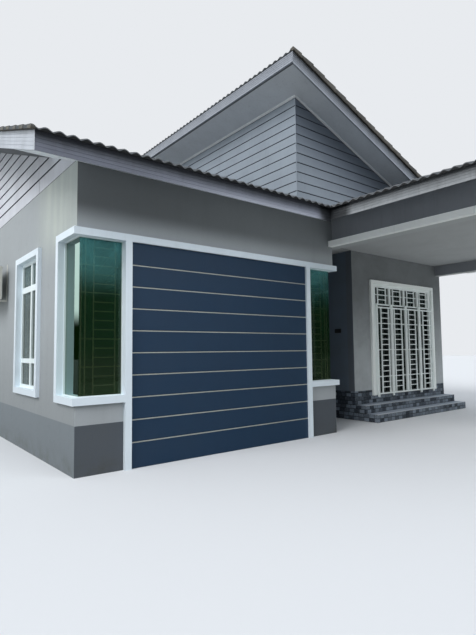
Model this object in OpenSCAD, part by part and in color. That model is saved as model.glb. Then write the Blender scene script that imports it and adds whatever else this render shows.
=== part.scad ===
/* [Wing] */
// Width of the front wing along its front wall, in mm
wing_w = 4530; // [4300:10:4800]
// Depth of the house from the wing's front wall to its back wall
house_d = 9800; // [9400:50:10400]
// Thickness of the rendered brick walls
wall_t = 150; // [120:5:180]
// Height of the fascia's lower edge at the eaves of the wing and the carport
eave_z = 3460; // [3400:10:3600]
// Slope of all the roofs, in degrees
roof_pitch = 20; // [18:0.5:21]
// Overhang of the wing's roof in front of its front wall
wing_over = 600; // [500:10:700]
// Overhang of the wing's roof at the gable end
verge_over = 630; // [500:10:750]

/* [Hall] */
// Set-back of the hall's front wall behind the wing's front wall
hall_set = 680; // [600:10:800]
// Width of the recess between the wing and the entry wall
recess_w = 1400; // [1200:10:1500]
// Depth of the recess behind the hall's front wall
recess_d = 1470; // [1300:10:1700]
// Width of the entry wall, which is also the width of the steps
entry_w = 3470; // [3400:10:3700]
// Height of the upper roof's soffit at the hall's left wall
upper_z = 6244; // [6150:1:6400]
// Overhang of the upper roof on its high side
upper_over_high = 552; // [450:1:600]
// Overhang of the upper roof on its low side
upper_over_low = 560; // [450:10:650]
// Overhang of the upper roof at the front and the back
upper_over_end = 497; // [400:1:600]

/* [Carport] */
// Distance that the carport's front beam stands out from the wing's front wall
port_d = 5000; // [4600:50:5600]
// Height of the carport's ceiling
ceiling_z = 3460; // [3400:10:3500]
// Height of the underside of the carport's beams
beam_z = 3220; // [3150:10:3300]
// Thickness of the carport's beams
beam_t = 200; // [150:10:240]
// Overhang of the carport's roof beyond its side beams
port_over = 730; // [600:10:800]
// Overhang of the carport's roof at the front
port_front_over = 600; // [450:10:700]
// Side of the square columns
column_s = 250; // [200:10:300]

/* [Roof edges] */
// Height of the roof decks and of their fascia boards, measured upright
deck_h = 185; // [160:5:210]
// Thickness of the fascia and barge boards
fascia_t = 25; // [18:1:35]
// Distance that the wing's fascias hang below the soffit
fascia_drop = 25; // [0:1:40]
// Height of the tiles at the crests of their rolls, measured upright
tile_h = 48; // [40:1:60]
// Height of the tiles between the rolls, measured upright
pan_h = 20; // [14:1:26]
// Distance between the rolls of the tiles
roll_p = 141; // [130:1:160]
// Distance that the tiles reach past the fascia
tile_over = 50; // [20:5:60]
// Distance that the upper roof's tiles reach past its fascias
upper_tile_over = 10; // [5:5:60]
// Distance that the upper roof's rake tiles reach past its barge boards
rake_over = 40; // [20:5:60]
// Height of the rake tiles above the upper roof's deck, measured upright
rake_h = 110; // [60:5:130]
// Distance that the upper roof's barge boards hang below the soffit
barge_drop = 25; // [0:1:40]
// Thickness of the lapped boards on the gable and the upper walls
clad_t = 20; // [16:1:30]
// Height of the lower edge of the gable's boards
clad_z = 3700; // [3690:5:3800]

/* [Windows] */
// Height of the windows' clear opening above the ground
sill_z = 902; // [850:2:950]
// Height of the head of the windows' clear opening
head_z = 2797; // [2750:1:2850]
// Width of the white bands round the windows
trim_w = 88; // [70:2:100]
// Distance that the white bands stand out from the wall
trim_out = 50; // [30:5:60]
// Thickness of the white lining inside the openings
lining_t = 12; // [8:1:16]
// Distance of the window frames behind the wall's face
frame_set = 35; // [30:5:65]
// Depth of the window frames
frame_d = 50; // [40:5:60]
// Width of the thin frames round the corner glass
corner_frame = 8; // [6:1:30]
// Clear width of the left corner window along the front wall
corner_front_l = 597; // [560:1:640]
// Clear width of the right corner window along the front wall
corner_front_r = 630; // [560:1:660]
// Clear width of the corner windows along the side walls
corner_side = 520; // [480:5:600]
// Clear width of the casement windows
casement_w = 1040; // [950:10:1150]
// Distance of the first casement window from the front corner
casement_y = 1464; // [1350:1:1600]
// Thickness of the glass
glass_t = 6; // [5:1:10]
// Open joint where two panes or two frames meet at a corner
corner_joint = 3; // [1:0.5:6]

/* [Front panel] */
// Thickness of the boarded panel between the corner windows
panel_t = 20; // [15:1:30]

/* [Entry] */
// Rise of each step
step_rise = 152; // [140:1:160]
// Going of each step
step_going = 265; // [250:5:290]
// Distance of the door opening from the entry wall's left end
door_off = 645; // [600:5:700]
// Clear width of the door opening
door_w = 2330; // [2300:10:2400]
// Height of the head of the door opening above the ground
door_head = 2825; // [2775:5:2850]
// Height of the rail between the door grille and its top light
transom_z = 2372; // [2360:1:2380]
// Pitch of the rungs in the door grille
rung_p = 114; // [112:1:115]

/* [Fittings] */
// Width of the outdoor unit along the wall
unit_w = 800; // [700:10:900]
// Height of the outdoor unit
unit_h = 550; // [500:10:650]
// Depth of the outdoor unit
unit_d = 290; // [250:5:340]
// Distance of the outdoor unit from the front corner
unit_y = 3200; // [3100:10:3500]
// Height of the outdoor unit's base
unit_z = 2330; // [2200:10:2500]

/* [Hidden] */
$fn = 48;
t20 = tan(roof_pitch);
big = 20000;

// Plan positions
ridge_y = house_d / 2;
hall_x = wing_w - wall_t;
entry_x = wing_w + recess_w;
hall_r = entry_x + entry_w;
port_l = wing_w - port_over;
port_r = hall_r + port_over;
port_mid = (port_l + port_r) / 2;
port_front = -port_d - port_front_over;
port_clear_l = wing_w + beam_t;
port_clear_r = hall_r - beam_t;
recess_back = hall_set + recess_d;
valley_x = port_l + hall_set + wing_over;
upper_l = hall_x - upper_over_high;
upper_r = hall_r + upper_over_low;
upper_front = hall_set - upper_over_end;
upper_back = house_d + upper_over_end;
floor_z = 3 * step_rise;
door_x = entry_x + door_off;
door_r = door_x + door_w;
panel_l = corner_front_l + trim_w;
panel_r = wing_w - corner_front_r - trim_w;

// Heights of the roofs' undersides
function wing_s(y) = eave_z + (min(y, house_d - y) + wing_over) * t20;
function port_s(x) = eave_z + (min(x, 2 * port_mid - x) - port_l) * t20;
function upper_s(x) = upper_z - (x - hall_x) * t20;

// Casement windows, as the face they are in and the distance along it
casement_y2 = casement_y + 5000;
casement_back_w = 1700;
casement_back_h = 6300;
casement_right_1 = 3000;
casement_right_2 = 6700;

// Profile drawn in depth and height, carried along the width
module yz(x0, x1, pts) {
  translate([x0, 0, 0])
    rotate([90, 0, 90])
      linear_extrude(x1 - x0) polygon(pts);
}

// Profile drawn in width and height, carried along the depth
module xz(y0, y1, pts) {
  translate([0, y1, 0])
    rotate([90, 0, 0])
      linear_extrude(y1 - y0) polygon(pts);
}

// Upright prism over a plan
module plan(pts, z0, z1) {
  translate([0, 0, z0])
    linear_extrude(z1 - z0) polygon(pts);
}

module box(a, b) {
  translate(a) cube(b - a);
}

// Plan directions of the four faces that carry casement windows
module on_left(y) {
  translate([0, y + casement_w, 0]) rotate([0, 0, -90]) children();
}

module on_right(y) {
  translate([hall_r, y, 0]) rotate([0, 0, 90]) children();
}

module on_back(x) {
  translate([x + casement_w, house_d, 0]) rotate([0, 0, 180]) children();
}

module at_casements() {
  on_left(casement_y) children();
  on_left(casement_y2) children();
  on_right(casement_right_1) children();
  on_right(casement_right_2) children();
  on_back(casement_back_w) children();
  on_back(casement_back_h) children();
}

// Hole for a casement window, cut through a wall whose face is the plane y = 0
module casement_hole() {
  box([-lining_t, -100, sill_z - lining_t],
    [casement_w + lining_t, wall_t + 100, head_z + lining_t]);
}

module floor_slab() {
  color([0.62, 0.62, 0.60])
    plan([[wall_t, wall_t], [hall_x, wall_t], [hall_x, recess_back + wall_t],
      [entry_x + wall_t, recess_back + wall_t], [entry_x + wall_t, hall_set + wall_t],
      [hall_r - wall_t, hall_set + wall_t], [hall_r - wall_t, house_d - wall_t],
      [wall_t, house_d - wall_t]], 0, floor_z);
}

module front_wall() {
  color([0.69, 0.70, 0.72])
    difference() {
      yz(0, wing_w, [[0, 0], [wall_t, 0], [wall_t, wing_s(wall_t)], [0, wing_s(0)]]);
      box([-100, -100, sill_z - lining_t],
        [corner_front_l + lining_t, wall_t + 100, head_z + lining_t]);
      box([wing_w - corner_front_r - lining_t, -100, sill_z - lining_t],
        [wing_w + 100, wall_t + 100, head_z + lining_t]);
    }
}

module left_wall() {
  color([0.69, 0.70, 0.72])
    difference() {
      yz(0, wall_t, [[wall_t, 0], [house_d - wall_t, 0],
        [house_d - wall_t, wing_s(wall_t)], [ridge_y, wing_s(ridge_y)],
        [wall_t, wing_s(wall_t)]]);
      box([-100, 0, sill_z - lining_t],
        [wall_t + 100, corner_side + lining_t, head_z + lining_t]);
      on_left(casement_y) casement_hole();
      on_left(casement_y2) casement_hole();
    }
}

module wing_right_wall() {
  color([0.69, 0.70, 0.72])
    difference() {
      yz(hall_x, wing_w, [[wall_t, 0], [recess_back + wall_t, 0],
        [recess_back + wall_t, ceiling_z], [hall_set, ceiling_z],
        [hall_set, wing_s(hall_set)], [wall_t, wing_s(wall_t)]]);
      box([hall_x - 100, 0, sill_z - lining_t],
        [wing_w + 100, corner_side + lining_t, head_z + lining_t]);
    }
}

module wing_back_wall() {
  color([0.69, 0.70, 0.72])
    difference() {
      yz(0, hall_x, [[house_d - wall_t, 0], [house_d, 0], [house_d, wing_s(0)],
        [house_d - wall_t, wing_s(wall_t)]]);
      on_back(casement_back_w) casement_hole();
    }
}

module recess_walls() {
  color([0.30, 0.31, 0.34])
    plan([[wing_w, recess_back], [entry_x, recess_back], [entry_x, hall_set + wall_t],
      [entry_x + wall_t, hall_set + wall_t], [entry_x + wall_t, recess_back + wall_t],
      [wing_w, recess_back + wall_t]], 0, ceiling_z);
}

module entry_walls() {
  color([0.69, 0.70, 0.72]) {
    box([entry_x, hall_set, 0], [door_x - lining_t, hall_set + wall_t, ceiling_z]);
    box([door_r + lining_t, hall_set, 0], [hall_r, hall_set + wall_t, ceiling_z]);
    // Threshold under the door, faced with tiles like the steps
    box([door_x - lining_t - 1, hall_set, 0],
      [door_r + lining_t + 1, hall_set + wall_t, floor_z]);
  }
}

module entry_head() {
  color([0.69, 0.70, 0.72])
    box([door_x - lining_t, hall_set, door_head + lining_t],
      [door_r + lining_t, hall_set + wall_t, ceiling_z]);
}

module hall_right_wall() {
  x0 = hall_r - wall_t;
  color([0.69, 0.70, 0.72])
    difference() {
      xz(hall_set + wall_t, house_d - wall_t,
        [[x0, 0], [hall_r, 0], [hall_r, upper_s(hall_r)], [x0, upper_s(x0)]]);
      on_right(casement_right_1) casement_hole();
      on_right(casement_right_2) casement_hole();
    }
}

module hall_back_wall() {
  color([0.69, 0.70, 0.72])
    difference() {
      xz(house_d - wall_t, house_d,
        [[hall_x, 0], [hall_r, 0], [hall_r, upper_s(hall_r)], [wing_w, upper_s(wing_w)],
        [wing_w, ceiling_z], [hall_x, ceiling_z]]);
      on_back(casement_back_h) casement_hole();
    }
}

module upper_left_wall() {
  x0 = hall_x + clad_t;
  color([0.60, 0.62, 0.66])
    xz(hall_set + clad_t, house_d,
      [[x0, ceiling_z], [wing_w, ceiling_z], [wing_w, upper_s(wing_w)], [x0, upper_s(x0)]]);
}

module upper_front_wall() {
  color([0.60, 0.62, 0.66])
    xz(hall_set + clad_t, hall_set + wall_t,
      [[wing_w, ceiling_z], [hall_r, ceiling_z], [hall_r, upper_s(hall_r)],
      [wing_w, upper_s(wing_w)]]);
}

// Lapped boards over the gable
module gable_cladding() {
  y0 = (clad_z - eave_z) / t20 - wing_over;
  color([0.66, 0.67, 0.71])
    yz(-clad_t, 0, [[y0, clad_z], [house_d - y0, clad_z], [ridge_y, wing_s(ridge_y)]]);
}

// Lapped boards over the upper left wall and round the corner to the front
module upper_cladding() {
  x1 = hall_x + clad_t;
  color([0.55, 0.59, 0.63]) {
    xz(hall_set, house_d, [[hall_x, ceiling_z], [x1, ceiling_z], [x1, upper_s(x1)],
      [hall_x, upper_s(hall_x)]]);
    xz(hall_set, hall_set + clad_t, [[x1 - 1, ceiling_z], [hall_r, ceiling_z],
      [hall_r, upper_s(hall_r)], [x1 - 1, upper_s(x1 - 1)]]);
  }
}

// Plans of the roofs, with the valley between the wing and the carport
wing_front_plan = [[-verge_over, -wing_over], [port_l, -wing_over], [valley_x, hall_set],
  [hall_x, hall_set], [hall_x, ridge_y], [-verge_over, ridge_y]];
port_left_plan = [[port_l, port_front], [port_mid, port_front], [port_mid, hall_set],
  [valley_x, hall_set], [port_l, -wing_over]];

// Sloping layer over the wing, from the height lo to the height hi above the soffit
module wing_layer(x0, x1, lo, hi, y0, y1) {
  yz(x0, x1, [[y0, wing_s(y0) + lo], [y1, wing_s(y1) + lo], [y1, wing_s(y1) + hi],
    [y0, wing_s(y0) + hi]]);
}

module port_layer(y0, y1, lo, hi, x0, x1) {
  xz(y0, y1, [[x0, port_s(x0) + lo], [x1, port_s(x1) + lo], [x1, port_s(x1) + hi],
    [x0, port_s(x0) + hi]]);
}

module upper_layer(x0, x1, lo, hi, y0, y1) {
  xz(y0, y1, [[x0, upper_s(x0) + lo], [x1, upper_s(x1) + lo], [x1, upper_s(x1) + hi],
    [x0, upper_s(x0) + hi]]);
}

module wing_roof_front() {
  color([0.40, 0.42, 0.45])
    intersection() {
      wing_layer(-verge_over, valley_x, 0, deck_h, -wing_over, ridge_y);
      plan(wing_front_plan, 0, big);
    }
}

module wing_roof_back() {
  color([0.40, 0.42, 0.45])
    wing_layer(-verge_over, hall_x, 0, deck_h, ridge_y, house_d + wing_over);
}

module upper_roof() {
  color([0.40, 0.42, 0.45])
    upper_layer(upper_l, upper_r, 0, deck_h, upper_front, upper_back);
}

module carport_roof_left() {
  color([0.40, 0.42, 0.45])
    intersection() {
      port_layer(port_front, hall_set, 0, deck_h, port_l, port_mid);
      plan(port_left_plan, 0, big);
    }
}

module carport_roof_right() {
  color([0.40, 0.42, 0.45])
    port_layer(port_front, hall_set, 0, deck_h, port_mid, port_r);
}

// Tiles, which reach past the fascias and the barge boards
tile_out = fascia_t + tile_over;
upper_tile_out = fascia_t + upper_tile_over;
rake_w = 90;
rake_lap = 10;
roll_foot = 86;
roll_top = 42;
wing_roll_at = -560;
spare = 300;

// Cross-section of the tiles from a to b, with one of the rolls at the place given
module roll_profile(a, b, at) {
  pan = pan_h * cos(roof_pitch);
  top = tile_h * cos(roof_pitch);
  polygon(concat([[a, 0], [a, pan]],
    [for (k = [ceil((a - at) / roll_p + 0.5) : floor((b - at) / roll_p - 0.5)])
      for (q = [[-roll_foot, pan], [-roll_top, top], [roll_top, top], [roll_foot, pan]])
        [at + k * roll_p + q[0] / 2, q[1]]],
    [[b, pan], [b, 0]]));
}

// Tiles on a slope that falls along x from the origin, with some to spare all round
module rolled_slope(a, b, at, length) {
  rotate([0, roof_pitch, 0])
    rotate([90, 0, 90])
      translate([0, 0, -spare]) linear_extrude(length / cos(roof_pitch) + 2 * spare)
        roll_profile(a - spare, b + spare, at);
}

module wing_slope() {
  translate([0, ridge_y, wing_s(ridge_y) + deck_h])
    rotate([0, 0, -90])
      rolled_slope(-verge_over, valley_x, wing_roll_at, ridge_y + wing_over);
}

module wing_tiles() {
  f = -wing_over - tile_out;
  v = -verge_over - tile_out;
  color([0.20, 0.21, 0.23]) {
    intersection() {
      wing_slope();
      plan([[v, f], [port_l - tile_out, f], [valley_x, hall_set], [hall_x, hall_set],
        [hall_x, ridge_y], [v, ridge_y]], 0, big);
    }
    intersection() {
      translate([0, house_d, 0]) mirror([0, 1, 0]) wing_slope();
      box([v, ridge_y, 0], [hall_x, house_d - f, big]);
    }
  }
}

module upper_tiles() {
  x0 = upper_l - upper_tile_out;
  x1 = upper_r + upper_tile_out;
  y0 = upper_front - fascia_t - rake_over;
  y1 = upper_back + fascia_t + rake_over;
  color([0.20, 0.21, 0.23]) {
    intersection() {
      translate([upper_l, 0, upper_s(upper_l) + deck_h])
        rolled_slope(y0, y1, y0 + roll_p / 2, upper_r - upper_l);
      box([x0, y0, 0], [x1, y1, big]);
    }
    // Rake tiles at the two verges, with flaps that hang in front of the barge boards
    upper_layer(x0, x1, deck_h, deck_h + rake_h, y0, y0 + rake_w);
    upper_layer(x0, x1, deck_h, deck_h + rake_h, y1 - rake_w, y1);
    upper_layer(x0, x1, deck_h - rake_lap, deck_h + 1, y0, y0 + rake_over);
    upper_layer(x0, x1, deck_h - rake_lap, deck_h + 1, y1 - rake_over, y1);
  }
}

module carport_slope() {
  rolled_slope(port_front, hall_set, port_front - tile_out + roll_p / 2, port_mid - port_l);
}

module carport_tiles() {
  x0 = port_l - tile_out;
  y0 = port_front - tile_out;
  color([0.20, 0.21, 0.23])
    translate([port_mid, 0, port_s(port_mid) + deck_h]) {
      intersection() {
        mirror([1, 0, 0]) carport_slope();
        translate([-port_mid, 0, 0])
          plan([[x0, y0], [port_mid, y0], [port_mid, hall_set], [valley_x, hall_set],
            [x0, -wing_over - tile_out]], -big, big);
      }
      intersection() {
        carport_slope();
        box([0, y0, -big], [port_r + tile_out - port_mid, hall_set, big]);
      }
    }
}

// Ridge caps of the wing and the carport
cap_r = 110;

module cap_profile() {
  difference() {
    circle(r = cap_r);
    translate([-2 * cap_r, -2 * cap_r]) square([4 * cap_r, 2 * cap_r]);
    polygon([[-cap_r, -1], [-cap_r, 0], [0, cap_r * t20], [cap_r, 0], [cap_r, -1]]);
  }
}

module ridge_caps() {
  wz = wing_s(ridge_y) + deck_h + tile_h - cap_r * t20;
  pz = port_s(port_mid) + deck_h + tile_h - cap_r * t20;
  color([0.20, 0.21, 0.23]) {
    translate([-verge_over - tile_out, ridge_y, wz])
      rotate([90, 0, 90]) linear_extrude(hall_x + verge_over + tile_out) cap_profile();
    translate([port_mid, hall_set, pz])
      rotate([90, 0, 0]) linear_extrude(hall_set - port_front + tile_out) cap_profile();
  }
}

// Fascias along the eaves and barge boards up the slopes
module wing_fascias() {
  f = -wing_over - fascia_t;
  v = -verge_over - fascia_t;
  color([0.65, 0.66, 0.70]) {
    wing_layer(v, port_l - fascia_t, -fascia_drop, deck_h, f, -wing_over);
    wing_layer(v, -verge_over, -fascia_drop, deck_h, f, ridge_y + 1);
    wing_layer(v, -verge_over, -fascia_drop, deck_h, ridge_y - 1, house_d - f);
    wing_layer(v, hall_x, -fascia_drop, deck_h, house_d + wing_over, house_d - f);
  }
}

module upper_fascias() {
  x0 = upper_l - fascia_t;
  x1 = upper_r + fascia_t;
  y0 = upper_front - fascia_t;
  y1 = upper_back + fascia_t;
  color([0.65, 0.66, 0.70]) {
    upper_layer(x0, x1, -barge_drop, deck_h, y0, upper_front);
    upper_layer(x0, x1, -barge_drop, deck_h, upper_back, y1);
    upper_layer(x0, upper_l, 0, deck_h, y0, y1);
    upper_layer(upper_r, x1, 0, deck_h, y0, y1);
  }
}

module carport_fascias() {
  x0 = port_l - fascia_t;
  y0 = port_front - fascia_t;
  color([0.65, 0.66, 0.70]) {
    port_layer(y0, -wing_over, 0, deck_h, x0, port_l);
    port_layer(y0, port_front, 0, deck_h, x0, port_mid + 1);
    port_layer(y0, port_front, 0, deck_h, port_mid - 1, port_r + fascia_t);
    port_layer(y0, hall_set, 0, deck_h, port_r, port_r + fascia_t);
  }
}

// Flat ceilings of the carport and of the recess beside it
ceiling_t = 12;

module ceilings() {
  color([0.66, 0.67, 0.68]) {
    box([port_clear_l, -port_d + beam_t, ceiling_z],
      [port_clear_r, hall_set, ceiling_z + ceiling_t]);
    box([wing_w, hall_set + wall_t, ceiling_z],
      [entry_x, recess_back, ceiling_z + ceiling_t]);
  }
}

module carport_beams() {
  color([0.50, 0.51, 0.53]) {
    xz(-port_d, hall_set, [[wing_w, beam_z], [port_clear_l, beam_z],
      [port_clear_l, port_s(port_clear_l)], [wing_w, port_s(wing_w)]]);
    xz(-port_d, hall_set, [[port_clear_r, beam_z], [hall_r, beam_z],
      [hall_r, port_s(hall_r)], [port_clear_r, port_s(port_clear_r)]]);
    box([port_clear_l - 1, -port_d, beam_z],
      [port_clear_r + 1, -port_d + beam_t, port_s(port_clear_l)]);
  }
}

// Pale band along the foot of the beams
band_h = 100;
band_out = 100;

module beam_trim() {
  color([0.80, 0.82, 0.83])
    difference() {
      box([wing_w - band_out, -port_d - band_out, beam_z],
        [hall_r + band_out, 0, beam_z + band_h]);
      box([wing_w, -port_d, beam_z - 1], [hall_r, 1, beam_z + band_h + 1]);
    }
}

module carport_columns() {
  color([0.69, 0.70, 0.72]) {
    box([wing_w, -port_d, 0], [wing_w + column_s, -port_d + column_s, beam_z]);
    box([hall_r - column_s, -port_d, 0], [hall_r, -port_d + column_s, beam_z]);
  }
}

module carport_gable() {
  z0 = port_s(port_clear_l);
  color([0.66, 0.67, 0.71])
    xz(-port_d, -port_d + wall_t, [[port_clear_l, z0], [port_clear_r, z0],
      [port_mid, port_s(port_mid)]]);
}

module lower_step() {
  color([0.22, 0.25, 0.29])
    box([entry_x, hall_set - 2 * step_going, 0], [hall_r, hall_set, step_rise]);
}

module upper_step() {
  color([0.22, 0.25, 0.29])
    box([entry_x, hall_set - step_going, step_rise], [hall_r, hall_set, 2 * step_rise]);
}

module front_panel() {
  color([0.15, 0.22, 0.33])
    box([panel_l, -panel_t, 0], [panel_r, 0, head_z]);
}

// Window bands on a face at y = 0: head, sill and lining on both
module band_run(x0, x1, z0, z1) {
  box([x0, -trim_out, z0], [x1, 0, z1]);
}

module corner_window_trim() {
  c_l = corner_front_l;
  c_r = wing_w - corner_front_r;
  head_t = head_z + trim_w;
  sill_b = sill_z - trim_w;
  s_out = corner_side + trim_w;
  in = frame_set;
  color([0.88, 0.91, 0.95]) {
    // Head band along the whole front and round both corners
    band_run(-trim_out, wing_w + trim_out, head_z, head_t);
    box([-trim_out, -1, head_z], [0, s_out, head_t]);
    box([wing_w, -1, head_z], [wing_w + trim_out, s_out, head_t]);
    // Posts beside the panel, down to the ground
    band_run(c_l, panel_l, 0, head_z + 1);
    band_run(panel_r, c_r, 0, head_z + 1);
    // Sills and their side bands
    band_run(-trim_out, c_l + 1, sill_b, sill_z);
    band_run(c_r - 1, wing_w + trim_out, sill_b, sill_z);
    for (x = [-trim_out, wing_w]) {
      box([x, -1, sill_b], [x + trim_out, s_out, sill_z]);
      box([x, corner_side, sill_b], [x + trim_out, s_out, head_t]);
    }
    // Linings of the openings
    for (z = [sill_z - lining_t, head_z]) {
      box([0, -1, z], [c_l + lining_t, in, z + lining_t]);
      box([0, -1, z], [in, corner_side + lining_t, z + lining_t]);
      box([c_r - lining_t, -1, z], [wing_w, in, z + lining_t]);
      box([wing_w - in, -1, z], [wing_w, corner_side + lining_t, z + lining_t]);
    }
    box([c_l, -1, sill_z - 1], [c_l + lining_t, in, head_z + 1]);
    box([c_r - lining_t, -1, sill_z - 1], [c_r, in, head_z + 1]);
    box([-1, corner_side, sill_z - 1], [in, corner_side + lining_t, head_z + 1]);
    box([wing_w - in, corner_side, sill_z - 1],
      [wing_w + 1, corner_side + lining_t, head_z + 1]);
  }
}

module casement_trim() {
  difference() {
    box([-trim_w, -trim_out, sill_z - trim_w], [casement_w + trim_w, 0, head_z + trim_w]);
    box([0, -trim_out - 1, sill_z], [casement_w, 1, head_z]);
  }
  difference() {
    box([-lining_t, -1, sill_z - lining_t],
      [casement_w + lining_t, frame_set, head_z + lining_t]);
    box([0, -2, sill_z], [casement_w, frame_set + 1, head_z]);
  }
}

module casement_trims() {
  color([0.88, 0.91, 0.95]) at_casements() casement_trim();
}

// Casement frame: two lights wide and three high
case_bar = 45;
case_mid = 60;
case_low_z = 1270;
case_top_z = 2340;
case_low_h = 70;
case_top_h = 90;

module casement_frame() {
  y1 = frame_set + frame_d;
  xm = (casement_w - case_mid) / 2;
  difference() {
    box([-lining_t, frame_set, sill_z - lining_t],
      [casement_w + lining_t, y1, head_z + lining_t]);
    for (x = [[case_bar, xm], [xm + case_mid, casement_w - case_bar]])
      for (z = [[sill_z + case_bar, case_low_z], [case_low_z + case_low_h, case_top_z],
        [case_top_z + case_top_h, head_z - case_bar]])
        box([x[0], frame_set - 1, z[0]], [x[1], y1 + 1, z[1]]);
  }
}

// Thin frame round one face of a corner window, open towards the corner
module corner_frame_face(from, to) {
  c = corner_frame;
  y0 = frame_set;
  y1 = frame_set + frame_d;
  z0 = sill_z - lining_t;
  z1 = head_z + lining_t;
  difference() {
    box([from, y0, z0], [to + lining_t, y1, z1]);
    box([from - 1, y0 - 1, sill_z + c], [to - c, y1 + 1, head_z - c]);
  }
}

// The two faces of the corner windows: the front as drawn, the side turned
module left_corner_side() {
  mirror([1, -1, 0]) children();
}

module right_corner_front() {
  translate([wing_w, 0, 0]) mirror([1, 0, 0]) children();
}

module right_corner_side() {
  right_corner_front() left_corner_side() children();
}

module corner_frame_set() {
  b = frame_set + frame_d + corner_joint;
  corner_frame_face(frame_set, corner_front_l);
  left_corner_side() corner_frame_face(b, corner_side);
  right_corner_front() corner_frame_face(frame_set, corner_front_r);
  right_corner_side() corner_frame_face(b, corner_side);
}

module window_frames() {
  color([0.86, 0.89, 0.90]) {
    at_casements() casement_frame();
    corner_frame_set();
  }
}

module casement_glass() {
  g = frame_set + (frame_d - glass_t) / 2;
  xm = (casement_w - case_mid) / 2;
  for (x = [[case_bar, xm], [xm + case_mid, casement_w - case_bar]])
    for (z = [[sill_z + case_bar, case_low_z], [case_low_z + case_low_h, case_top_z],
      [case_top_z + case_top_h, head_z - case_bar]])
      box([x[0], g, z[0]], [x[1], g + glass_t, z[1]]);
}

// Corner glass, which meets edge to edge without a post
module corner_pane(from, to) {
  g = frame_set + (frame_d - glass_t) / 2;
  box([from, g, sill_z + corner_frame], [to - corner_frame, g + glass_t, head_z - corner_frame]);
}

module corner_glass() {
  g = frame_set + (frame_d - glass_t) / 2;
  b = g + glass_t + corner_joint;
  corner_pane(g, corner_front_l);
  left_corner_side() corner_pane(b, corner_side);
  right_corner_front() corner_pane(g, corner_front_r);
  right_corner_side() corner_pane(b, corner_side);
}

module window_glass() {
  color([0.16, 0.30, 0.28, 0.8]) {
    at_casements() casement_glass();
    corner_glass();
  }
}

// Security bars behind the corner glass, on both sides of the corner
bar_s = 12;
bar_first = 128;
bar_p = 111.5;
bar_rungs = 15;
bar_full = [2, 5, 10, 13];
bar_corner = 52;
bar_ladder = [154, 429];
bar_side_ladder = [130, 300];

module bar_panel(from, to, uprights) {
  y0 = frame_set + frame_d;
  z0 = sill_z - lining_t;
  z1 = head_z + lining_t;
  for (x = uprights)
    box([x, y0, z0], [x + bar_s, y0 + bar_s, z1]);
  for (i = [0 : bar_rungs]) {
    z = z0 + bar_first + i * bar_p;
    full = len(search(i, bar_full)) > 0;
    box([full ? from : uprights[len(uprights) - 2] + 1, y0, z],
      [full ? to : uprights[len(uprights) - 1] + 1, y0 + bar_s, z + bar_s]);
  }
}

module corner_bars(w) {
  y0 = frame_set + frame_d;
  bar_panel(y0, w + lining_t, [y0, y0 + bar_corner, y0 + bar_ladder[0],
    y0 + bar_ladder[1]]);
  left_corner_side()
    bar_panel(y0 + bar_s - 1, corner_side + lining_t,
      [y0 + bar_side_ladder[0], y0 + bar_side_ladder[1]]);
}

module window_bars() {
  color([0.75, 0.78, 0.76]) {
    corner_bars(corner_front_l);
    right_corner_front() corner_bars(corner_front_r);
  }
}

// White band and lining round the entry door
door_band_w = 72;
door_band_out = 50;

module door_surround() {
  y0 = hall_set - door_band_out;
  y1 = hall_set + 40;
  w = door_band_w;
  color([0.88, 0.91, 0.95]) {
    difference() {
      box([door_x - w, y0, floor_z], [door_r + w, hall_set, door_head + w]);
      box([door_x, y0 - 1, floor_z - 1], [door_r, hall_set + 1, door_head]);
    }
    difference() {
      box([door_x - lining_t, hall_set - 1, floor_z],
        [door_r + lining_t, y1, door_head + lining_t]);
      box([door_x, hall_set - 2, floor_z - 1], [door_r, y1 + 1, door_head]);
    }
  }
}

// Sliding door of four glass leaves in a metal frame
door_frame_d = 80;
door_bar = 50;

module door_frame() {
  y0 = hall_set + 40;
  y1 = y0 + door_frame_d;
  n = 4;
  leaf = (door_w - 2 * door_bar) / n;
  color([0.25, 0.26, 0.27])
    difference() {
      box([door_x - lining_t, y0, floor_z], [door_r + lining_t, y1, door_head + lining_t]);
      for (i = [0 : n - 1])
        box([door_x + door_bar + i * leaf + door_bar / 2, y0 - 1, floor_z + door_bar],
          [door_x + door_bar + (i + 1) * leaf - door_bar / 2, y1 + 1,
            door_head - door_bar]);
    }
}

module door_glass() {
  y0 = hall_set + 40 + (door_frame_d - glass_t) / 2;
  n = 4;
  leaf = (door_w - 2 * door_bar) / n;
  color([0.10, 0.16, 0.15, 0.85])
    for (i = [0 : n - 1])
      box([door_x + door_bar + i * leaf + door_bar / 2, y0, floor_z + door_bar],
        [door_x + door_bar + (i + 1) * leaf - door_bar / 2, y0 + glass_t,
          door_head - door_bar]);
}

// Grille in front of the door: a fixed frame and four folding leaves outside it
grille_in = 20;
grille_d = 34;
grille_leaf_d = 31;
grille_lap = 1;
jamb_w = 115;
head_h = 70;
rail_h = 30;
mullion_w = 65;
mullion_x = [645, 1205, 1765];
top_ladder_w = 320;
top_rungs = [113, 216, 328];
stile_w = 40;
leaf_start = 110;
leaf_gap = 4;
leaf_top = 28;
leaf_rail_down = 67;
ladder_at = [150, 88, 95, 145];
ladder_w = 305;
ladder_bar = 30;
ladder_d = 20;
rung_d = 14;
rung_h = 18;
rung_first = 144;
rungs = 15;
rail_up = 8;
foot_w = 45;
foot_h = 50;

// Flat bar of the grille, from x to x + w, with its depth d centred on the plane yc
module grille_bar(x, w, z0, z1, yc, d) {
  box([x, yc - d / 2, z0], [x + w, yc + d / 2, z1]);
}

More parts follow.
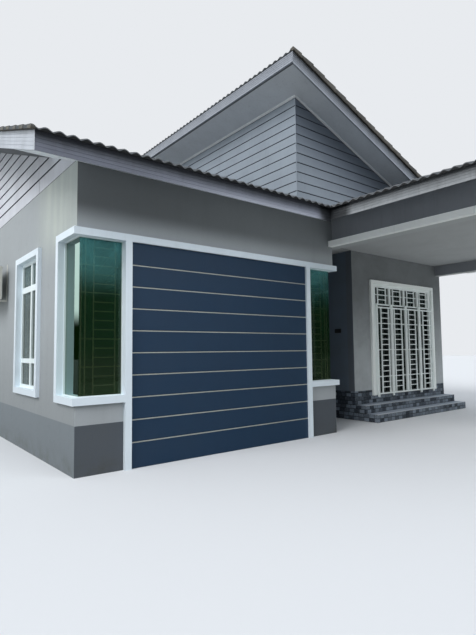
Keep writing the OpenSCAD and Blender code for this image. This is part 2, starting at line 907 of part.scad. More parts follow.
module grille_frame() {
  yc = hall_set + grille_in - grille_d / 2;
  in_l = door_x + jamb_w;
  in_r = door_r - jamb_w;
  rail_t = transom_z + rail_h;
  ends = concat([in_l - 1], [for (m = mullion_x) door_x + m + mullion_w / 2 - 1]);
  stops = concat([for (m = mullion_x) door_x + m - mullion_w / 2 + 1], [in_r + 1]);
  for (x = [door_x, in_r])
    grille_bar(x, jamb_w, floor_z, door_head, yc, grille_d);
  grille_bar(in_l - 1, in_r - in_l + 2, door_head - head_h, door_head, yc, grille_d);
  grille_bar(in_l - 1, in_r - in_l + 2, transom_z, rail_t, yc, grille_d);
  for (m = mullion_x)
    grille_bar(door_x + m - mullion_w / 2, mullion_w, rail_t - 1,
      door_head - head_h + 1, yc, grille_d);
  // Ladders of the top light, with the middle rung reaching from side to side
  for (i = [0 : len(ends) - 1]) {
    x = (ends[i] + stops[i] - top_ladder_w) / 2;
    for (s = [0, top_ladder_w - ladder_bar])
      grille_bar(x + s, ladder_bar, rail_t - 1, door_head - head_h + 1, yc, ladder_d);
    for (k = [0 : len(top_rungs) - 1]) {
      z = transom_z + top_rungs[k];
      if (k == 1)
        grille_bar(ends[i], stops[i] - ends[i], z, z + rung_h, yc, rung_d);
      else
        grille_bar(x + 1, top_ladder_w - 2, z, z + rung_h, yc, rung_d);
    }
  }
}

module grille_leaves() {
  n = len(ladder_at);
  yc = hall_set + grille_in - grille_d + grille_lap - grille_leaf_d / 2;
  start = door_x + leaf_start;
  pitch = (door_w - leaf_start) / n;
  low = floor_z + rail_up;
  high = transom_z + leaf_top;
  rail = transom_z - leaf_rail_down;
  for (i = [0 : n - 1]) {
    a = start + i * pitch + (i == 0 ? 0 : leaf_gap / 2);
    b = start + (i + 1) * pitch - (i == n - 1 ? 0 : leaf_gap / 2);
    for (x = [a, b - stile_w])
      grille_bar(x, stile_w, low, high, yc, grille_leaf_d);
    for (z = [low, rail])
      grille_bar(a + 1, b - a - 2, z, z + rail_h, yc, grille_leaf_d - 2);
    for (s = [0, ladder_w - ladder_bar])
      grille_bar(a + ladder_at[i] + s, ladder_bar, low + 1, rail + 1, yc, ladder_d);
    for (k = [0 : rungs - 1]) {
      z = floor_z + rung_first + k * rung_p;
      if (k % 5 == 2)
        grille_bar(a + 1, b - a - 2, z, z + rung_h, yc, rung_d);
      else
        grille_bar(a + ladder_at[i] + 1, ladder_w - 2, z, z + rung_h, yc, rung_d);
    }
  }
  // Feet under the outer stiles and under two of the pairs of stiles
  for (x = [start, start + pitch - foot_w / 2, start + 3 * pitch - foot_w / 2,
    door_r - foot_w])
    grille_bar(x, foot_w, low - foot_h, low + 1, yc, grille_leaf_d - 2);
}

module door_grille() {
  color([0.82, 0.85, 0.84]) {
    grille_frame();
    grille_leaves();
  }
}

// Outdoor unit of the air conditioner on its wall brackets
unit_gap = 110;
fan_depth = 60;
fan_hub_r = 45;
blade_r = 180;
blade_w = 90;

module fan_outline() {
  circle(r = fan_hub_r);
  for (a = [0 : 120 : 240])
    rotate(a) translate([0, -blade_w / 2]) square([blade_r, blade_w]);
}

module outdoor_unit() {
  x1 = -unit_gap;
  x0 = x1 - unit_d;
  yc = unit_y + unit_w * 0.40;
  zc = unit_z + unit_h / 2;
  color([0.80, 0.80, 0.78]) {
    difference() {
      box([x0, unit_y, unit_z], [x1, unit_y + unit_w, unit_z + unit_h]);
      translate([x0 - 1, yc, zc]) rotate([0, 90, 0])
        cylinder(r = blade_r + 25, h = fan_depth + 1);
    }
    // Fan standing on the bottom of the round opening
    translate([x0 + 20, yc, zc]) rotate([0, 90, 0])
      linear_extrude(fan_depth - 19) fan_outline();
  }
}

module unit_bracket() {
  x0 = -unit_gap - unit_d - 20;
  arm = 35;
  color([0.85, 0.86, 0.87])
    for (y = [unit_y + 130, unit_y + unit_w - 130 - arm]) {
      box([x0, y, unit_z - arm], [0, y + arm, unit_z]);
      box([-5, y, unit_z - arm], [0, y + arm, unit_z + unit_h + 60]);
      box([x0, y, unit_z - arm], [x0 + 5, y + arm, unit_z + 20]);
    }
}

// Small dark plate on the recess's side wall
module wall_plate() {
  y0 = 990;
  z0 = 1770;
  color([0.08, 0.08, 0.09])
    box([entry_x - 15, y0, z0], [entry_x, y0 + 160, z0 + 85]);
}

floor_slab();
front_wall();
left_wall();
wing_right_wall();
wing_back_wall();
recess_walls();
entry_walls();
entry_head();
hall_right_wall();
hall_back_wall();
upper_left_wall();
upper_front_wall();
gable_cladding();
upper_cladding();
wing_roof_front();
wing_roof_back();
upper_roof();
carport_roof_left();
carport_roof_right();
wing_tiles();
upper_tiles();
carport_tiles();
ridge_caps();
wing_fascias();
upper_fascias();
carport_fascias();
ceilings();
carport_beams();
beam_trim();
carport_columns();
carport_gable();
lower_step();
upper_step();
front_panel();
corner_window_trim();
casement_trims();
window_frames();
window_glass();
window_bars();
door_surround();
door_frame();
door_glass();
door_grille();
outdoor_unit();
unit_bracket();
wall_plate();
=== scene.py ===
# Looks of a bungalow with a carport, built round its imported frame. Metres, z up.
import math

import bmesh
import bpy
import numpy as np
from mathutils import Matrix, Vector


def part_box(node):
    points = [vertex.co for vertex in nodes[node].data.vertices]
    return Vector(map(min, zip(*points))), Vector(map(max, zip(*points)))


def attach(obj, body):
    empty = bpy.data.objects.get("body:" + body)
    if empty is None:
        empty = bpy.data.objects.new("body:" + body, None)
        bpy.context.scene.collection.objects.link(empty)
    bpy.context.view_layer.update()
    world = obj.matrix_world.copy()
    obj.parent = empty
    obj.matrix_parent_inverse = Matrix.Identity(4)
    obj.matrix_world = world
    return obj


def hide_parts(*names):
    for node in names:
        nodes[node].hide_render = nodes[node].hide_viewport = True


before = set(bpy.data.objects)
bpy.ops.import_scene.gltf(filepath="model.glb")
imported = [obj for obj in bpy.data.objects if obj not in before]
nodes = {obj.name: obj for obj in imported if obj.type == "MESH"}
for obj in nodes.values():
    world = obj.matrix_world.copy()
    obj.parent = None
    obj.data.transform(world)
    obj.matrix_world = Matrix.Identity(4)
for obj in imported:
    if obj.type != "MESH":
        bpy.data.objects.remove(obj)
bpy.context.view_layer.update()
print("frame loaded with", len(nodes), "nodes")

# Main measures of the house, as the frame has them
slope = math.tan(math.radians(20))  # of all the roofs
eaveZ = 3.46  # undersides of the wing's and the carport's roofs at their eaves
overhang = 0.6  # of the same two roofs
backWall, rightWall = 9.8, 9.4  # outer faces
ridgeY = 4.9  # the wing's ridge
hallX, hallY = 4.38, 0.68  # left and front faces of the upper walls
upperZ = 6.244  # underside of the upper roof at its left wall
deck = 0.185  # roof decks, measured upright
vergeX, backEave = -0.63, 10.4  # edges of the wing's deck at the gable and at the back
portLeft, portRight, portRidge, portFront = 3.8, 10.13, 6.965, -5.6  # the carport's deck
upperLeft, upperRight, upperFront, upperBack = 3.828, 9.96, 0.183, 10.297  # the upper deck
boardOut = 0.025  # fascia boards stand out this far from the decks
boardDrop = 0.025  # the wing's fascias and the upper barge boards hang this far below the soffit
tileOut = 0.075  # tiles reach this far past the decks
upperTileOut = 0.035  # the same on the upper roof
rakeOut = 0.065  # its rake tiles reach this far past the deck

tiles = {
    "roll": 0.141, "rollHeight": 0.030, "gauge": 0.300, "pan": 0.006, "lift": 0.012, "columns": 8,
}


# Undersides of the three roofs at a place
def wingUnder(x, y):
    return eaveZ + (np.minimum(y, backWall - y) + overhang) * slope


def portUnder(x, y):
    return eaveZ + (np.minimum(x, 2 * portRidge - x) - portLeft) * slope


def upperUnder(x, y):
    return upperZ - (x - hallX) * slope


# Shader sockets with arithmetic
def put(tree, socket, value):
    if isinstance(value, Sock):
        tree.links.new(value.out, socket)
    else:
        socket.default_value = value


# A colour given from 0 to 255 as it looks on a screen
def rgb(r, g, b):
    c = np.array([r, g, b]) / 255
    c = np.where(c <= 0.04045, c / 12.92, ((c + 0.055) / 1.055) ** 2.4)
    return (float(c[0]), float(c[1]), float(c[2]), 1.0)


# Two sockets of a tree: 1 on rays from the camera, and 1 on mirrored rays
def cameraRays(tree):
    path = tree.nodes.new("ShaderNodeLightPath")
    return [Sock(tree, path.outputs[name]) for name in ("Is Camera Ray", "Is Glossy Ray")]


class Sock:
    def __init__(self, tree, out):
        self.tree = tree
        self.out = out

    def node(self, kind, settings=None, sockets=None, out=0):
        made = self.tree.nodes.new("ShaderNode" + kind)
        for key, value in (settings or {}).items():
            setattr(made, key, value)
        for key, value in (sockets or {}).items():
            put(self.tree, made.inputs[key], value)
        return Sock(self.tree, made.outputs[out])

    def math(self, operation, *values):
        return self.node("Math", {"operation": operation}, dict(enumerate(values)))

    def __add__(self, other):
        return self.math("ADD", self, other)

    __radd__ = __add__

    def __sub__(self, other):
        return self.math("SUBTRACT", self, other)

    def __rsub__(self, other):
        return self.math("SUBTRACT", other, self)

    def __mul__(self, other):
        return self.math("MULTIPLY", self, other)

    __rmul__ = __mul__

    def __truediv__(self, other):
        return self.math("DIVIDE", self, other)

    def __rtruediv__(self, other):
        return self.math("DIVIDE", other, self)

    def __mod__(self, other):
        return self.math("FLOORED_MODULO", self, other)

    def __pow__(self, other):
        return self.math("POWER", self, other)

    def __gt__(self, other):
        return self.math("GREATER_THAN", self, other)

    def __lt__(self, other):
        return self.math("LESS_THAN", self, other)

    def floor(self):
        return self.math("FLOOR", self)

    def size(self):
        return self.math("ABSOLUTE", self)

    def cosine(self):
        return self.math("COSINE", self)

    def least(self, other):
        return self.math("MINIMUM", self, other)

    def most(self, other):
        return self.math("MAXIMUM", self, other)

    def ramp(self, low, high):
        smooth = {"interpolation_type": "SMOOTHSTEP"}
        return self.node("MapRange", smooth, {0: self, 1: low, 2: high})

    def mix(self, a, b):
        return self.node("Mix", {"data_type": "RGBA"}, {0: self, 6: a, 7: b}, 2)

    def split(self):
        made = self.tree.nodes.new("ShaderNodeSeparateXYZ")
        put(self.tree, made.inputs[0], self)
        return [Sock(self.tree, o) for o in made.outputs]

    def join(self, y, z):
        return self.node("CombineXYZ", None, {0: self, 1: y, 2: z})

    def stretch(self, x, y, z):
        return self.node("VectorMath", {"operation": "MULTIPLY"}, {0: self, 1: (x, y, z)})

    def noise(self, scale, detail=3.0, rough=0.55):
        values = {"Vector": self, "Scale": scale, "Detail": detail, "Roughness": rough}
        return self.node("TexNoise", None, values)

    def random(self):
        return self.node("TexWhiteNoise", None, {"Vector": self})

    def bump(self, strength, distance):
        values = {"Strength": strength, "Distance": distance, "Height": self}
        return self.node("Bump", None, values)

    # The way that the surface faces, and the mark that a piece's points carry
    def normal(self):
        return self.node("NewGeometry", None, None, 1).split()

    def mark(self):
        return self.node("Attribute", {"attribute_name": "tileAt"}, None, 1).split()


def objectPlace(tree):
    return Sock(tree, tree.nodes.new("ShaderNodeTexCoord").outputs["Object"])


# A new material, its Object coordinates and a function that feeds its shader
def finish(name, **fixed):
    mat = bpy.data.materials.new(name)
    mat.use_nodes = True
    tree = mat.node_tree
    shader = tree.nodes["Principled BSDF"]
    for key, value in fixed.items():
        shader.inputs[key.replace("_", " ")].default_value = value

    def feed(key, value):
        put(tree, shader.inputs[key], value)

    return mat, objectPlace(tree), feed


# A finished material's colour socket, what feeds it, and its Object coordinates
def painted(mat):
    socket = mat.node_tree.nodes["Principled BSDF"].inputs["Base Color"]
    return socket, Sock(mat.node_tree, socket.links[0].from_socket), objectPlace(mat.node_tree)


# 1 on faces that look down an axis, from that part of their normal
def looksMinus(part):
    return part.ramp(-0.4, -0.6)


# Paint on render, mottled and streaked by noise, over a painted plinth with splashes; painted shade darkens
# the plinth on front faces, greys left faces (most low down) and darkens front faces up to the eaves; left
# faces have a pale wash near the front corner
# Of these colours, the plinth's on front faces, the grey on left faces and the dark under the eaves are
# painted shade
plaster = {
    "dirt": rgb(96, 96, 88), "splash": rgb(74, 72, 60), "splashTop": 0.34, "frontPlinthShade": rgb(54, 58, 66),
    "side": rgb(88, 94, 96), "eaves": rgb(50, 52, 54), "wash": rgb(196, 204, 192),
}


def wallPaint(name, upper, plinth, plinthTop=0.58, streak=0.5):
    mat, place, feed = finish(name, Roughness=0.72, Specular_IOR_Level=0.3)
    x, y, z = place.split()
    facing = place.normal()
    left, front = looksMinus(facing[0]), looksMinus(facing[1])
    cloud = place.noise(1.3, 4).ramp(0.3, 0.7)
    runs = place.stretch(4.6, 4.6, 0.32).noise(1.0, 5, 0.62).ramp(0.46, 0.78)
    blot = place.noise(9, 4, 0.7).ramp(0.5, 0.85)
    dirt = (runs * 0.13 + blot * 0.10 + cloud * 0.08) * streak
    edge = (z + (place.noise(18, 2) - 0.5) * 0.004 - plinthTop).ramp(-0.003, 0.003)
    # Painted shade: the plinth is darker on front faces
    paint = edge.mix((front * 0.75).mix(plinth, plaster["frontPlinthShade"]), upper)
    paint = dirt.mix(paint, plaster["dirt"])
    # Painted shade: left faces greyer, most low down
    paint = (left * (0.44 - z.ramp(0.6, 2.3) * 0.18)).mix(paint, plaster["side"])
    # Painted shade on front faces, darkening up under the eaves
    eaveShadeAmount = z.ramp(2.93, 3.22) * (0.63 - x.ramp(0.3, 3.0) * 0.14)
    paint = (front * eaveShadeAmount).mix(paint, plaster["eaves"])
    wash = left * z.ramp(2.5, 3.1) * (1 - y.ramp(0.9, 1.9))
    wash = wash * (0.55 + place.stretch(4, 4, 0.6).noise(1.0, 4, 0.6).ramp(0.38, 0.70) * 0.45)
    paint = (wash * 0.55).mix(paint, plaster["wash"])
    splash = (1 - z.ramp(0.02, plaster["splashTop"])) * place.noise(5, 5, 0.65).ramp(0.35, 0.75)
    feed("Base Color", (splash * 0.35).mix(paint, plaster["splash"]))
    feed("Roughness", 0.62 + blot * 0.2)
    grain = place.noise(160, 2, 0.6) * 0.5 + place.noise(24, 3) * 0.8 + place.noise(3.2, 2) * 2.0
    feed("Normal", grain.bump(0.35, 0.004))
    return mat


# Brushed or rolled paint on boards, sheets and metal, with faint wear; grain stretches its bump
def plainPaint(name, colour, rough=0.5, wear=0.25, grain=(40, 40, 40), depth=0.0012,
               dark=(70, 70, 66), metallic=0.0):
    mat, place, feed = finish(name, Metallic=metallic, Specular_IOR_Level=0.4)
    cloud = place.noise(2.1, 4, 0.6).ramp(0.35, 0.7)
    runs = place.stretch(20, 20, 1.2).noise(1.0, 4, 0.6).ramp(0.52, 0.78)
    speck = place.noise(70, 2, 0.7).ramp(0.62, 0.8)
    worn = (cloud * 0.16 + runs * 0.22 + speck * 0.14) * wear
    feed("Base Color", worn.mix(rgb(*colour), rgb(*dark)))
    feed("Roughness", rough + cloud * 0.12 - speck * 0.05)
    feed("Normal", place.stretch(*grain).noise(1.0, 3, 0.6).bump(0.4, depth))
    return mat


# Paint on fascia and barge boards: streaky dirt with painted shade under the tile edge thickens between two
# shares of the board's height, less on its sides; painted shade lies in the grooves and round the inner
# corner of the two eaves
# The dirt colour here is streaky dirt with painted shade under the tile edge; the groove and corner colours
# are painted shade
board = {
    "dirt": rgb(46, 48, 54), "groove": rgb(58, 62, 70), "corner": rgb(26, 29, 33),
    "cornerAt": (portLeft, -0.7), "cornerFrom": 0.22, "cornerTo": 0.36,
}


def boardPaint(name, colour, wear, grain, dirtAndShadeFrom, dirtAndShadeTo, sideShare, lines):
    mat = plainPaint(name, colour, 0.45, wear, grain, 0.001)
    socket, paint, place = painted(mat)
    x, y, z = place.split()
    up = place.mark()[2]  # 0 at the lower edge of the board, 1 at its upper edge
    drips = place.stretch(9, 9, 0.8).noise(1.0, 3, 0.6) - 0.5
    front = place.normal()[1].ramp(-0.3, -0.7)
    # Streaky dirt with painted shade under the tile edge, darkening towards the board's top
    dirt = (up + drips * 0.3).ramp(dirtAndShadeFrom, dirtAndShadeTo) * (sideShare + front * (1 - sideShare))
    paint = (dirt * 0.72).mix(paint, board["dirt"])
    # Painted shade in the grooves
    groove = 1 - (((up - 0.01) * 5 + 0.5) % 1.0 - 0.5).size().ramp(0.08, 0.16)
    paint = (groove * lines * (up > 0.1)).mix(paint, board["groove"])
    # Painted shade round the inner corner of the two eaves
    acrossX, acrossY = x - board["cornerAt"][0], y - board["cornerAt"][1]
    away = (acrossX * acrossX + acrossY * acrossY) ** 0.5 + drips * 0.1
    corner = 1 - away.ramp(board["cornerFrom"], board["cornerTo"])
    put(mat.node_tree, socket, (corner * 0.94).mix(paint, board["corner"]))
    return mat


# Lays a second colour over a finish where a mask of place and facing says
def overlaid(mat, mask, colour):
    socket, paint, place = painted(mat)
    put(mat.node_tree, socket, mask(place.split(), place.normal()).mix(paint, rgb(*colour)))
    return mat


# Painted shadow line along the edges of the upper roof's underside, next to the barge boards
def upperVergeShadowLine(place, facing):
    x, y, z = place
    low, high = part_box("upper_roof")
    inside = (x - low[0]).least(y - low[1]).least(high[0] - x).least(high[1] - y)
    return (1 - inside.ramp(0.018, 0.030)) * (z > 4.0) * 0.85


def downward(place, facing):
    return facing[2].ramp(-0.6, -0.8)


# Painted shade on faces that look left
def leftFaceShade(place, facing):
    return looksMinus(facing[0]) * 0.22


# Painted shade on the front faces of the upper walls, most just below the soffit
def shadeUnderUpperSoffit(place, facing):
    x, y, z = place
    return looksMinus(facing[1]) * (1 - (upperUnder(x, y) - z).ramp(0.3, 1.6)) * 0.7


# Painted shade on the front faces of the entry walls, more with height
def entryFrontShade(place, facing):
    return place[2].ramp(0.7, 2.9) * looksMinus(facing[1]) * 0.62


# Painted light on the lower half of the wing's front fascia, away from its ends
def fasciaLitLowHalf(place, facing):
    x, y, z = place
    along = x.ramp(0.3, 2.4) * (1 - x.ramp(3.4, 3.7))
    return (1 - z.ramp(3.42, 3.55)) * along * looksMinus(facing[1]) * 0.6


# Worn concrete tiles: a tone each, paler crests, brown stains near the left verge; at the eaves the ends of
# the rolls have painted light, and the hollows under them painted shade
# At the eaves, the end colour is painted light on the roll ends and the hollow colour painted shade under
# them
tileLook = {
    "crest": rgb(118, 120, 122), "pan": rgb(38, 40, 40), "stain": rgb(92, 84, 60),
    "speck": rgb(132, 134, 132), "end": rgb(136, 139, 144), "hollowShade": rgb(15, 16, 19),
}


def tilePaint(name, base, stained=1.0, eaveEndLightAndShade=0.0):
    mat, place, feed = finish(name, Roughness=0.8, Specular_IOR_Level=0.35)
    u, v, h = place.mark()
    x, y, z = place.split()
    own = (u / (2 * tiles["roll"])).floor().join((v / tiles["gauge"]).floor(), 0.0).random()
    crest = h.ramp(0.016, 0.040)
    fine = place.noise(120, 4, 0.7)
    paint = own.mix(rgb(*[c * 0.8 for c in base]), rgb(*[min(255, c * 1.2) for c in base]))
    paint = (crest * place.noise(22, 4, 0.7).ramp(0.3, 0.7) * 0.55).mix(paint, tileLook["crest"])
    paint = ((1 - crest) * place.noise(11, 4, 0.7).ramp(0.4, 0.7) * 0.6).mix(paint, tileLook["pan"])
    nearVerge = (1 - x.ramp(-0.6, 1.3)) * 0.7 + 0.18
    stain = place.noise(6.5, 5, 0.7).ramp(0.52, 0.72) * nearVerge * stained
    paint = stain.mix(paint, tileLook["stain"])
    paint = fine.ramp(0.62, 0.8).mix(paint, tileLook["speck"])
    roll = ((u * (2 * math.pi / tiles["roll"])).cosine() * 0.5 + 0.5) ** 0.75 * tiles["rollHeight"]
    # Painted light on the upright ends of the rolls at the eaves, and painted shade in the hollows under them
    end = (v < 0.01) * place.normal()[2].ramp(0.7, 0.4)
    hollowShade = (1 - (h - roll).ramp(0.004, 0.007)) * end
    paint = (end * eaveEndLightAndShade * 0.5).mix(paint, tileLook["end"])
    feed("Base Color", (hollowShade * eaveEndLightAndShade).mix(paint, tileLook["hollowShade"]))
    feed("Roughness", 0.68 + place.noise(30, 3) * 0.28)
    feed("Normal", (fine * 0.7 + place.noise(36, 3) * 0.8).bump(0.45, 0.003))
    return mat


# Split-stone mosaic: rows of chips with a tone each, shifted from row to row and set in dark grout
chips = {
    "wide": 0.125, "high": 0.076, "topFrom": 0.569, "topTo": 0.573,
    "dark": rgb(33, 40, 50), "light": rgb(134, 146, 160), "grout": rgb(20, 23, 28),
    "stepDark": rgb(34, 41, 52), "stepLight": rgb(140, 151, 164), "stepGrout": rgb(24, 28, 34),
    "tread": rgb(158, 168, 182), "nosing": rgb(206, 212, 220),
}


def mosaic(place):
    x, y, z = place.split()
    level = z / chips["high"]
    row = level.floor()
    run = (x + y) / chips["wide"] + row.join(3.1, 1.7).random()
    chip = run.floor().join(row, 5.0).random()
    acrossChip, upChip = (run % 1.0 - 0.5).size(), (level % 1.0 - 0.5).size()
    grout = acrossChip.ramp(0.44, 0.49).most(upChip.ramp(0.38, 0.47))
    return chip, grout


# Paint over a stone mosaic plinth; faces that look left into the recess take the darker paint
def stoneFooted(name, plain, side):
    mat, place, feed = finish(name, Roughness=0.6, Specular_IOR_Level=0.4)
    chip, grout = mosaic(place)
    vein = place.noise(34, 4, 0.7)
    paint = looksMinus(place.normal()[0]).mix(plain, side)
    dirt = place.noise(2.3, 4).ramp(0.3, 0.7) * 0.22 + place.noise(11, 3).ramp(0.5, 0.8) * 0.10
    paint = dirt.mix(paint, rgb(92, 94, 94))
    stone = (chip * 0.8 + (vein - 0.5) * 0.9).mix(chips["dark"], chips["light"])
    stone = grout.mix(stone, chips["grout"])
    above = place.split()[2].ramp(chips["topFrom"], chips["topTo"])
    feed("Base Color", above.mix(stone, paint))
    feed("Roughness", 0.5 + above * 0.22)
    relief = (1 - above) * (1 - grout) * (0.6 + chip * 0.4) * 3
    feed("Normal", (relief + vein * 0.6 + place.noise(110, 2) * 0.5).bump(0.5, 0.003))
    return mat


steps = {
    "left": 5.93, "right": 9.40, "front": 0.15, "rise": 0.152, "going": 0.265,
    "tile": 0.30, "joint": 0.003, "thick": 0.010, "nosingFrom": 0.060, "nosingTo": 0.080,
}


# The same mosaic on the risers, plain treads with a pale nosing along their front edges
def stepStone(name):
    mat, place, feed = finish(name, Roughness=0.55, Specular_IOR_Level=0.45)
    chip, grout = mosaic(place)
    vein = place.stretch(1, 1, 3).noise(20, 5, 0.7)
    stone = (chip * 0.8 + (vein - 0.5) * 0.9).mix(chips["stepDark"], chips["stepLight"])
    flat = place.normal()[2].ramp(0.4, 0.8)
    stone = (grout * (1 - flat) * 0.9).mix(stone, chips["stepGrout"])
    intoTread = (place.split()[1] - steps["front"]) % steps["going"]
    nosing = 1 - intoTread.ramp(steps["nosingFrom"], steps["nosingTo"])
    stone = (flat * 0.8).mix(stone, nosing.mix(chips["tread"], chips["nosing"]))
    feed("Base Color", stone)
    feed("Roughness", 0.45 + vein * 0.25)
    relief = (1 - grout) * (1 - flat) * 1.4
    feed("Normal", (vein * 0.8 + relief + place.noise(60, 3) * 0.4).bump(0.5, 0.003))
    return mat


# Tinted mirror glass with painted reflections: a teal sky at the top, darker and greener downwards, grey on
# panes that face left and a pale sky on the corner pane on the left, which also mirrors most
glassLook = {"side": rgb(104, 114, 110), "corner": rgb(108, 135, 126), "cornerTo": 0.9}


def tintGlass(name, top, middle, foot, alpha, mirror):
    mat, place, feed = finish(name, IOR=1.5, Specular_IOR_Level=0.6)
    x, y, z = place.split()
    # Painted reflection: a teal sky at the top, darker and greener lower down
    paint = z.ramp(2.02, 2.95).mix(rgb(*middle), rgb(*top))
    paint = z.ramp(0.95, 1.75).mix(rgb(*foot), paint)
    # Painted reflection: darker patches
    wave = place.stretch(1.2, 1.2, 0.7).noise(3.0, 4, 0.6).ramp(0.4, 0.62)
    paint = (wave * 0.35).mix(paint, rgb(*[c * 0.6 for c in foot]))
    side = looksMinus(place.normal()[0])
    corner = side * (y < glassLook["cornerTo"])
    dust = place.noise(45, 4, 0.7).ramp(0.55, 0.85)
    # Painted reflection: grey on panes that face left, a pale sky on the corner pane
    paint = (side * 0.8).mix(paint, glassLook["side"])
    feed("Base Color", corner.mix(paint, glassLook["corner"]))
    feed("Metallic", mirror + corner * (1 - mirror))
    feed("Roughness", 0.02 + dust * 0.05)
    feed("Alpha", alpha + corner * 0.4 + dust * 0.05)
    return mat


mats = {
    "wall": wallPaint("wallPaint", rgb(170, 175, 179), rgb(136, 144, 152)),
    # Entry walls: painted shade on front faces, more with height
    "entry": overlaid(
        stoneFooted("entryPaint", rgb(180, 185, 188), rgb(100, 107, 117)), entryFrontShade, (50, 52, 54)),
    "column": wallPaint("columnPaint", rgb(172, 177, 180), rgb(84, 90, 96), 0.58, 0.6),
    "inside": wallPaint("insidePaint", rgb(170, 172, 172), rgb(120, 122, 122), 0.05, 0.3),
    "recess": stoneFooted("recessPaint", rgb(100, 113, 127), rgb(100, 113, 127)),
    # Gable boards: painted shade on faces that look down, under the board feet
    "gable": overlaid(
        plainPaint("gablePaint", (200, 202, 210), 0.6, 0.5, (6, 6, 160), 0.0015), downward, (44, 49, 62)),
    # Upper boards: painted shade on front faces below the soffit and on faces that look down
    "upper": overlaid(
        overlaid(plainPaint("upperPaint", (146, 156, 167), 0.6, 0.4, (6, 6, 160), 0.0015),
                 shadeUnderUpperSoffit, (84, 93, 108)), downward, (40, 46, 56)),
    # A dark sheet behind the boards, painted shade in the gaps between them
    "shadeBacking": plainPaint("shadeBackingPaint", (44, 48, 56), 0.8, 0.3),
    "surround": plainPaint("surroundPaint", (248, 252, 250), 0.45, 0.3, (24, 24, 24), 0.001, (150, 152, 146)),
    "bead": plainPaint("beadPaint", (240, 243, 246), 0.5, 0.3, (24, 24, 24), 0.001),
    # Soffit: painted shadow line along the upper roof's edges
    "soffit": overlaid(
        plainPaint("soffitPaint", (236, 241, 247), 0.65, 0.45, (12, 12, 12), 0.002),
        upperVergeShadowLine, (38, 42, 48)),
    "barge": boardPaint("bargePaint", (174, 179, 189), 0.9, (8, 8, 60), 0.90, 1.20, 1.0, 0.03),
    # Upper barge boards: painted shade on left faces, under the rake tiles and in the grooves
    "upperBarge": overlaid(
        boardPaint("upperBargePaint", (170, 176, 187), 0.5, (8, 8, 60), -0.15, 0.95, 0.30, 0.30),
        leftFaceShade, (80, 84, 94)),
    # Wing's front fascia: the barge paint darkened as painted shade, with painted light on its lower half
    "fascia": overlaid(
        boardPaint("shadedFasciaPaint", (113, 117, 131), 0.5, (8, 8, 60), 0.22, 0.85, 1.0, 0.03),
        fasciaLitLowHalf, (188, 192, 206)),
    "portFascia": boardPaint("portFasciaPaint", (150, 154, 158), 0.8, (60, 60, 60), -0.05, 0.85, 1.0, 0.03),
    "ceiling": plainPaint("ceilingPaint", (176, 178, 180), 0.6, 0.3, (10, 10, 10), 0.002),
    "beam": overlaid(
        plainPaint("beamPaint", (138, 141, 148), 0.55, 0.5, (30, 30, 30), 0.002), downward, (180, 183, 184)),
    "band": plainPaint("bandPaint", (250, 252, 251), 0.5, 0.3, (30, 30, 30), 0.001),
    # White trim: painted shade on left faces
    "white": overlaid(
        plainPaint("whitePaint", (232, 243, 252), 0.42, 0.3, (24, 24, 24), 0.001, (150, 152, 150)),
        leftFaceShade, (140, 148, 156)),
    "frame": plainPaint("framePaint", (226, 236, 238), 0.35, 0.2, (90, 90, 90), 0.0005, (150, 152, 150)),
    "bars": plainPaint("barPaint", (248, 252, 206), 0.4, 0.3, (90, 90, 90), 0.0005, (130, 126, 110)),
    "navy": plainPaint("navyPaint", (36, 60, 86), 0.42, 0.4, (4, 40, 120), 0.0015, (34, 44, 58)),
    "strip": plainPaint("stripMetal", (196, 198, 192), 0.35, 0.5, (3, 200, 200), 0.0004,
                        (120, 120, 112), 0.3),
    "grille": plainPaint("grillePaint", (240, 246, 245), 0.38, 0.35, (80, 80, 80), 0.0006, (140, 140, 128)),
    "doorFrame": plainPaint("doorMetal", (58, 62, 64), 0.4, 0.4, (60, 60, 60), 0.0005, (30, 30, 30), 0.5),
    "case": plainPaint("unitCase", (214, 214, 206), 0.45, 0.8, (120, 120, 120), 0.0006, (120, 112, 96)),
    "plate": plainPaint("platePaint", (24, 24, 27), 0.35, 0.4),
    "fan": plainPaint("fanBlack", (34, 36, 38), 0.5, 0.5),
    "slab": plainPaint("slabTiles", (168, 168, 164), 0.3, 0.5),
    "tiles": tilePaint("roofTiles", (62, 66, 71), 1.0, 1.0),
    "rake": tilePaint("rakeTile", (84, 80, 74), 1.2),
    "step": stepStone("stepStone"),
    "glass": tintGlass("windowGlass", (88, 166, 166), (30, 62, 38), (52, 72, 48), 0.62, 0.36),
    "doorGlass": tintGlass("doorGlass", (84, 102, 100), (66, 78, 74), (60, 70, 68), 0.66, 0.20),
}
print("materials made:", len(mats))

# Every node of the frame takes a finish
finishNodes = {
    "wall": ["front_wall", "left_wall", "wing_right_wall", "wing_back_wall", "hall_right_wall",
             "hall_back_wall"],
    "slab": ["floor_slab"], "recess": ["recess_walls"], "entry": ["entry_walls", "entry_head"],
    "inside": ["upper_left_wall", "upper_front_wall"], "column": ["carport_columns"],
    "gable": ["gable_cladding", "carport_gable"], "upper": ["upper_cladding"],
    "soffit": ["wing_roof_front", "wing_roof_back", "upper_roof", "carport_roof_left",
               "carport_roof_right"],
    "tiles": ["wing_tiles", "upper_tiles", "carport_tiles", "ridge_caps"],
    "barge": ["wing_fascias"], "upperBarge": ["upper_fascias"], "portFascia": ["carport_fascias"],
    "ceiling": ["ceilings"], "beam": ["carport_beams"], "band": ["beam_trim"],
    "step": ["lower_step", "upper_step"], "navy": ["front_panel"],
    "white": ["corner_window_trim", "casement_trims"], "frame": ["window_frames"],
    "glass": ["window_glass"], "bars": ["window_bars"], "surround": ["door_surround"],
    "doorFrame": ["door_frame"], "doorGlass": ["door_glass"], "grille": ["door_grille"],
    "case": ["outdoor_unit", "unit_bracket"], "plate": ["wall_plate"],
}
